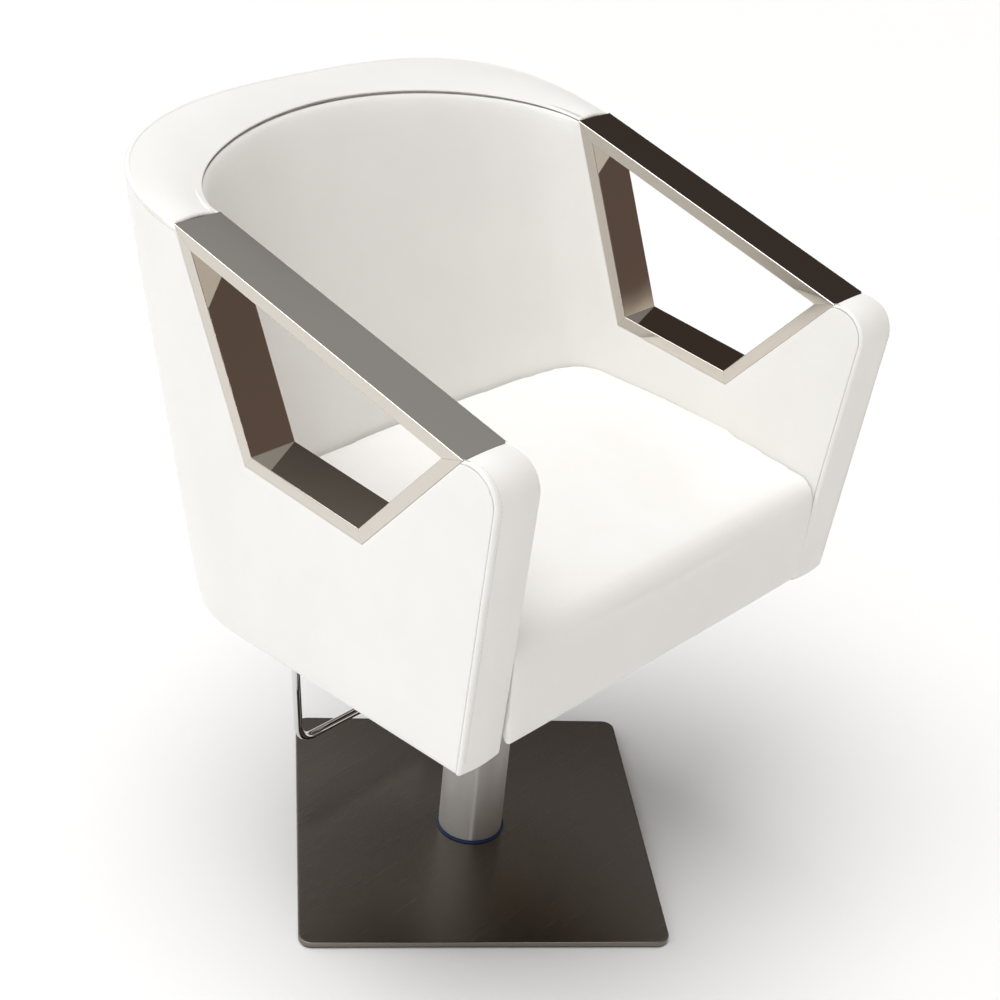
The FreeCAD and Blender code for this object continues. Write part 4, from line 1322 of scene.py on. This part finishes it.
def seam_paths(shape: TubShape) -> list[np.ndarray]:
    """Stitch lines: on the arm fronts beside their outer seams, and along the rim's two seams."""
    inset, lift, outer_rise, inner_drop, end = 0.0055, 0.0006, 0.004, 0.0115, 0.03
    near, far = (shape.front_edge(strip, 80)[4:-4] for strip in (0.0, shape.strip))
    lines = near + (near - far) * lift / shape.strip
    paths = [np.array([(side * (shape.side_x(Face.OUTER, y, z) - inset), y, z) for y, z in lines])
             for side in Side]
    for face, drop in ((Face.OUTER, shape.band - outer_rise), (Face.INNER, inner_drop)):
        paths.append(np.array([shape.rim_curve_point(face, angle, drop)
                               for angle in np.linspace(end, math.pi - end, 120)]))
    return paths


# ------------------------------------------------------------------ room
@dataclass
class Studio:
    """Pale floor, soft light, surround and the camera."""

    floor_half: float = 40.0
    sun_strength: float = 2.0
    sun_angle: float = 50.0
    strip_from: tuple[float, float, float] = (-2.70, -2.95, 0.9)
    strip_size: tuple[float, float] = (0.05, 1.7)
    strip_power: float = 3.5
    dim_direction: tuple[float, float, float] = (0.8, -0.6, 0.0)
    sun_from: tuple[float, float, float] = (-0.22, 0.10, 0.970)
    pale_side: tuple[tuple[float, str], ...] = ((-1.0, "#F4F4F4"), (0.0, "#F4F4F4"), (0.2, "#ECECEC"),
                                                (1.0, "#ECECEC"))
    dim_side: tuple[tuple[float, str], ...] = ((-1.0, "#E8E0D2"), (0.160, "#E6DCCB"), (0.175, "#6A5A52"),
                                               (0.30, "#66574F"), (0.45, "#40362F"), (0.54, "#433B38"),
                                               (0.60, "#6B6560"), (0.66, "#A2A2A3"), (0.78, "#B0B0B0"),
                                               (1.0, "#E6E4E1"))

    def build_floor(self) -> bpy.types.Object:
        """Make the pale floor just under the rubber pads."""
        half = self.floor_half
        points = np.array([(-half, -half, 0), (half, -half, 0), (half, half, 0), (-half, half, 0)])
        floor = mesh_object("floor", points, [(0, 1, 2, 3)], smooth=False)
        floor.data.materials.append(PlainFinish("pale_floor", "#EFEFEF", 0.7).build())
        return floor

    def build_world(self) -> None:
        """Make the surround: pale all round the horizon and overhead, dim brown high on the +X side.

        Polished steel shows the dim part in its top faces, and cloth takes its shade from it.
        """
        world = bpy.data.worlds.new("studio")
        bpy.context.scene.world = world
        world.use_nodes = True
        tree = world.node_tree
        tree.nodes.clear()
        place = add_node(tree, "ShaderNodeTexCoord")
        split = add_node(tree, "ShaderNodeSeparateXYZ", {"Vector": place.outputs["Generated"]})
        cloud = add_node(tree, "ShaderNodeTexNoise", {"Vector": place.outputs["Generated"], "Scale": 6.0,
                                                      "Detail": 1.0})
        level = add_node(tree, "ShaderNodeMath", {0: cloud.outputs[0], 1: 0.05, 2: -0.025},
                         operation="MULTIPLY_ADD")
        wavy = add_node(tree, "ShaderNodeMath", {0: split.outputs["Z"], 1: level.outputs[0]})
        facing = add_node(tree, "ShaderNodeVectorMath", {0: place.outputs["Generated"],
                                                         1: self.dim_direction}, operation="DOT_PRODUCT")
        across = add_node(tree, "ShaderNodeMapRange", {"Value": facing.outputs["Value"], "From Min": -0.25,
                                                       "From Max": 0.08}, interpolation_type="SMOOTHSTEP")
        both = add_node(tree, "ShaderNodeMix", {"Factor": across.outputs[0]}, data_type="RGBA")
        for height, stops, socket in ((split.outputs["Z"], self.pale_side, both.inputs[6]),
                                      (wavy.outputs[0], self.dim_side, both.inputs[7])):
            unit = add_node(tree, "ShaderNodeMapRange", {"Value": height, "From Min": -1.0})
            ramp = add_node(tree, "ShaderNodeValToRGB", {"Fac": unit.outputs[0]})
            for z, colour in stops[1:-1]:
                ramp.color_ramp.elements.new((z + 1) / 2).color = linear(colour)
            for place_in_ramp in (0, -1):
                ramp.color_ramp.elements[place_in_ramp].color = linear(stops[place_in_ramp][1])
            tree.links.new(ramp.outputs[0], socket)
        sky = add_node(tree, "ShaderNodeBackground", {"Color": both.outputs[2], "Strength": 1.0})
        add_node(tree, "ShaderNodeOutputWorld", {"Surface": sky.outputs[0]})

    def build_lights(self) -> None:
        """Add one broad soft light almost overhead and a tall narrow one that draws a streak on chrome."""
        light = bpy.data.lights.new("overhead", "SUN")
        light.energy = self.sun_strength
        light.angle = math.radians(self.sun_angle)
        lamp = bpy.data.objects.new("overhead", light)
        lamp.rotation_euler = Vector(self.sun_from).to_track_quat("Z", "Y").to_euler()
        bpy.context.scene.collection.objects.link(lamp)
        strip = bpy.data.lights.new("strip", "AREA")
        strip.shape = "RECTANGLE"
        strip.size, strip.size_y = self.strip_size
        strip.energy = self.strip_power
        tall = bpy.data.objects.new("strip", strip)
        tall.location = self.strip_from
        level = Vector((*self.strip_from[:2], 0.0))
        tall.rotation_euler = level.to_track_quat("Z", "Y").to_euler()
        bpy.context.scene.collection.objects.link(tall)

    def build_camera(self) -> None:
        """Add the camera: three-quarter front view from above."""
        data = bpy.data.cameras.new("camera")
        data.sensor_width = 36.0
        data.lens = 64.45
        data.shift_x, data.shift_y = 0.0427, -0.0020
        data.clip_start, data.clip_end = 0.05, 50.0
        camera = bpy.data.objects.new("camera", data)
        right = Vector((0.68925, -0.72041, 0.07707))
        up = Vector((0.30243, 0.38273, 0.87295))
        back = Vector((-0.65838, -0.57837, 0.48167))
        turn = Matrix((right, up, back)).transposed()
        camera.matrix_world = Matrix.Translation((-1.3901, -1.1518, 1.4686)) @ turn.to_4x4()
        bpy.context.scene.collection.objects.link(camera)
        bpy.context.scene.camera = camera

    def build(self) -> None:
        """Build the whole room."""
        self.build_floor()
        self.build_world()
        self.build_lights()
        self.build_camera()
        bpy.context.scene.view_settings.view_transform = "Standard"


# ------------------------------------------------------------------ the chair
class StylingChair:
    """The whole chair: builds each sub-assembly, dresses it and hides the CAD nodes that it replaces."""

    def __init__(self) -> None:
        """Make the finishes and the tub's shape."""
        self.finishes = Finishes()
        self.shape = TubShape()

    def settle(self, piece: bpy.types.Object, body: Body, slot: str, *nodes: str) -> bpy.types.Object:
        """Dress a piece, put it on its body and let it stand for its CAD nodes.

        Args:
            piece: the finished piece.
            body: the body it rides on.
            slot: the record's material slot.
            nodes: the CAD nodes that it replaces.

        Returns:
            The same piece.
        """
        self.finishes.dress(piece, slot)
        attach(piece, body.value)
        if nodes:
            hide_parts(*nodes)
        LOG.info("%s: %d faces", piece.name, len(piece.data.polygons))
        return piece

    def build_base(self) -> None:
        """Floor plate cover, column tube and seal ring."""
        column = Column()
        self.settle(PlateCover().build("plate_cover"), Body.BASE, "brushed_stainless", "base_plate_cover")
        tube = self.settle(column.build_tube("chrome_column"), Body.BASE, "chrome", "column_tube")
        tube.data.materials[0] = self.finishes.turned_chrome
        self.settle(column.build_ring("seal_ring"), Body.BASE, "blue_plastic", "foot_ring")

    def build_lever(self) -> None:
        """Foot lever rod."""
        self.settle(FootLever().build("stirrup_rod"), Body.LEVER, "chrome", "lever_rod")

    def build_tub(self) -> None:
        """Outer and inner upholstery, rim band, front strips, stitches and arm frames."""
        shape = self.shape
        soft = "white_leatherette"
        outer = TubPanel(shape, Face.OUTER, shape.low, shape.band, 0.004, 0.0014).build("outer_panel")
        inner = TubPanel(shape, Face.INNER, 0.412, 0.0016, 0.018, 0.0047).build("inner_lining")
        band = RimBand(shape).build("rim_band")
        for piece, node in ((outer, "outer_upholstery"), (inner, "inner_upholstery"), (band, "top_band")):
            self.settle(piece, Body.SEAT, soft, node)
        for side in Side:
            word = side.name.lower()
            strip = FrontStrip(shape, side).build(f"arm_front_{word}")
            self.settle(strip, Body.SEAT, soft, f"front_strip_{word}")
            arm = ArmFrame(shape, side).build(f"steel_arm_{word}")
            self.settle(arm, Body.SEAT, "polished_stainless", f"arm_frame_{word}")
        stitches = Stitching(self.finishes.thread).lay("seam_stitches", seam_paths(shape))
        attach(stitches, Body.SEAT.value)
        LOG.info("%s: %d faces", stitches.name, len(stitches.data.polygons))

    def build_cushion(self) -> None:
        """Seat cushion."""
        pad = SeatPad(self.shape).build("seat_pad")
        self.settle(pad, Body.SEAT, "white_leatherette", "seat_cushion")

    def dress_frame_nodes(self) -> None:
        """Give every CAD node that still shows the finish of its slot."""
        for row in frame["record"]["subparts"]:
            node = frame["nodes"][row["node"]]
            node.data.materials.clear()
            node.data.materials.append(self.finishes.slots[row["material_slot"]])

    def build(self) -> None:
        """Build everything."""
        self.dress_frame_nodes()
        self.build_base()
        self.build_lever()
        self.build_tub()
        self.build_cushion()


def main() -> None:
    """Build the chair and its room."""
    logging.basicConfig(level=logging.INFO, format="%(message)s")
    StylingChair().build()
    Studio().build()


if __name__ == "__main__":
    main()
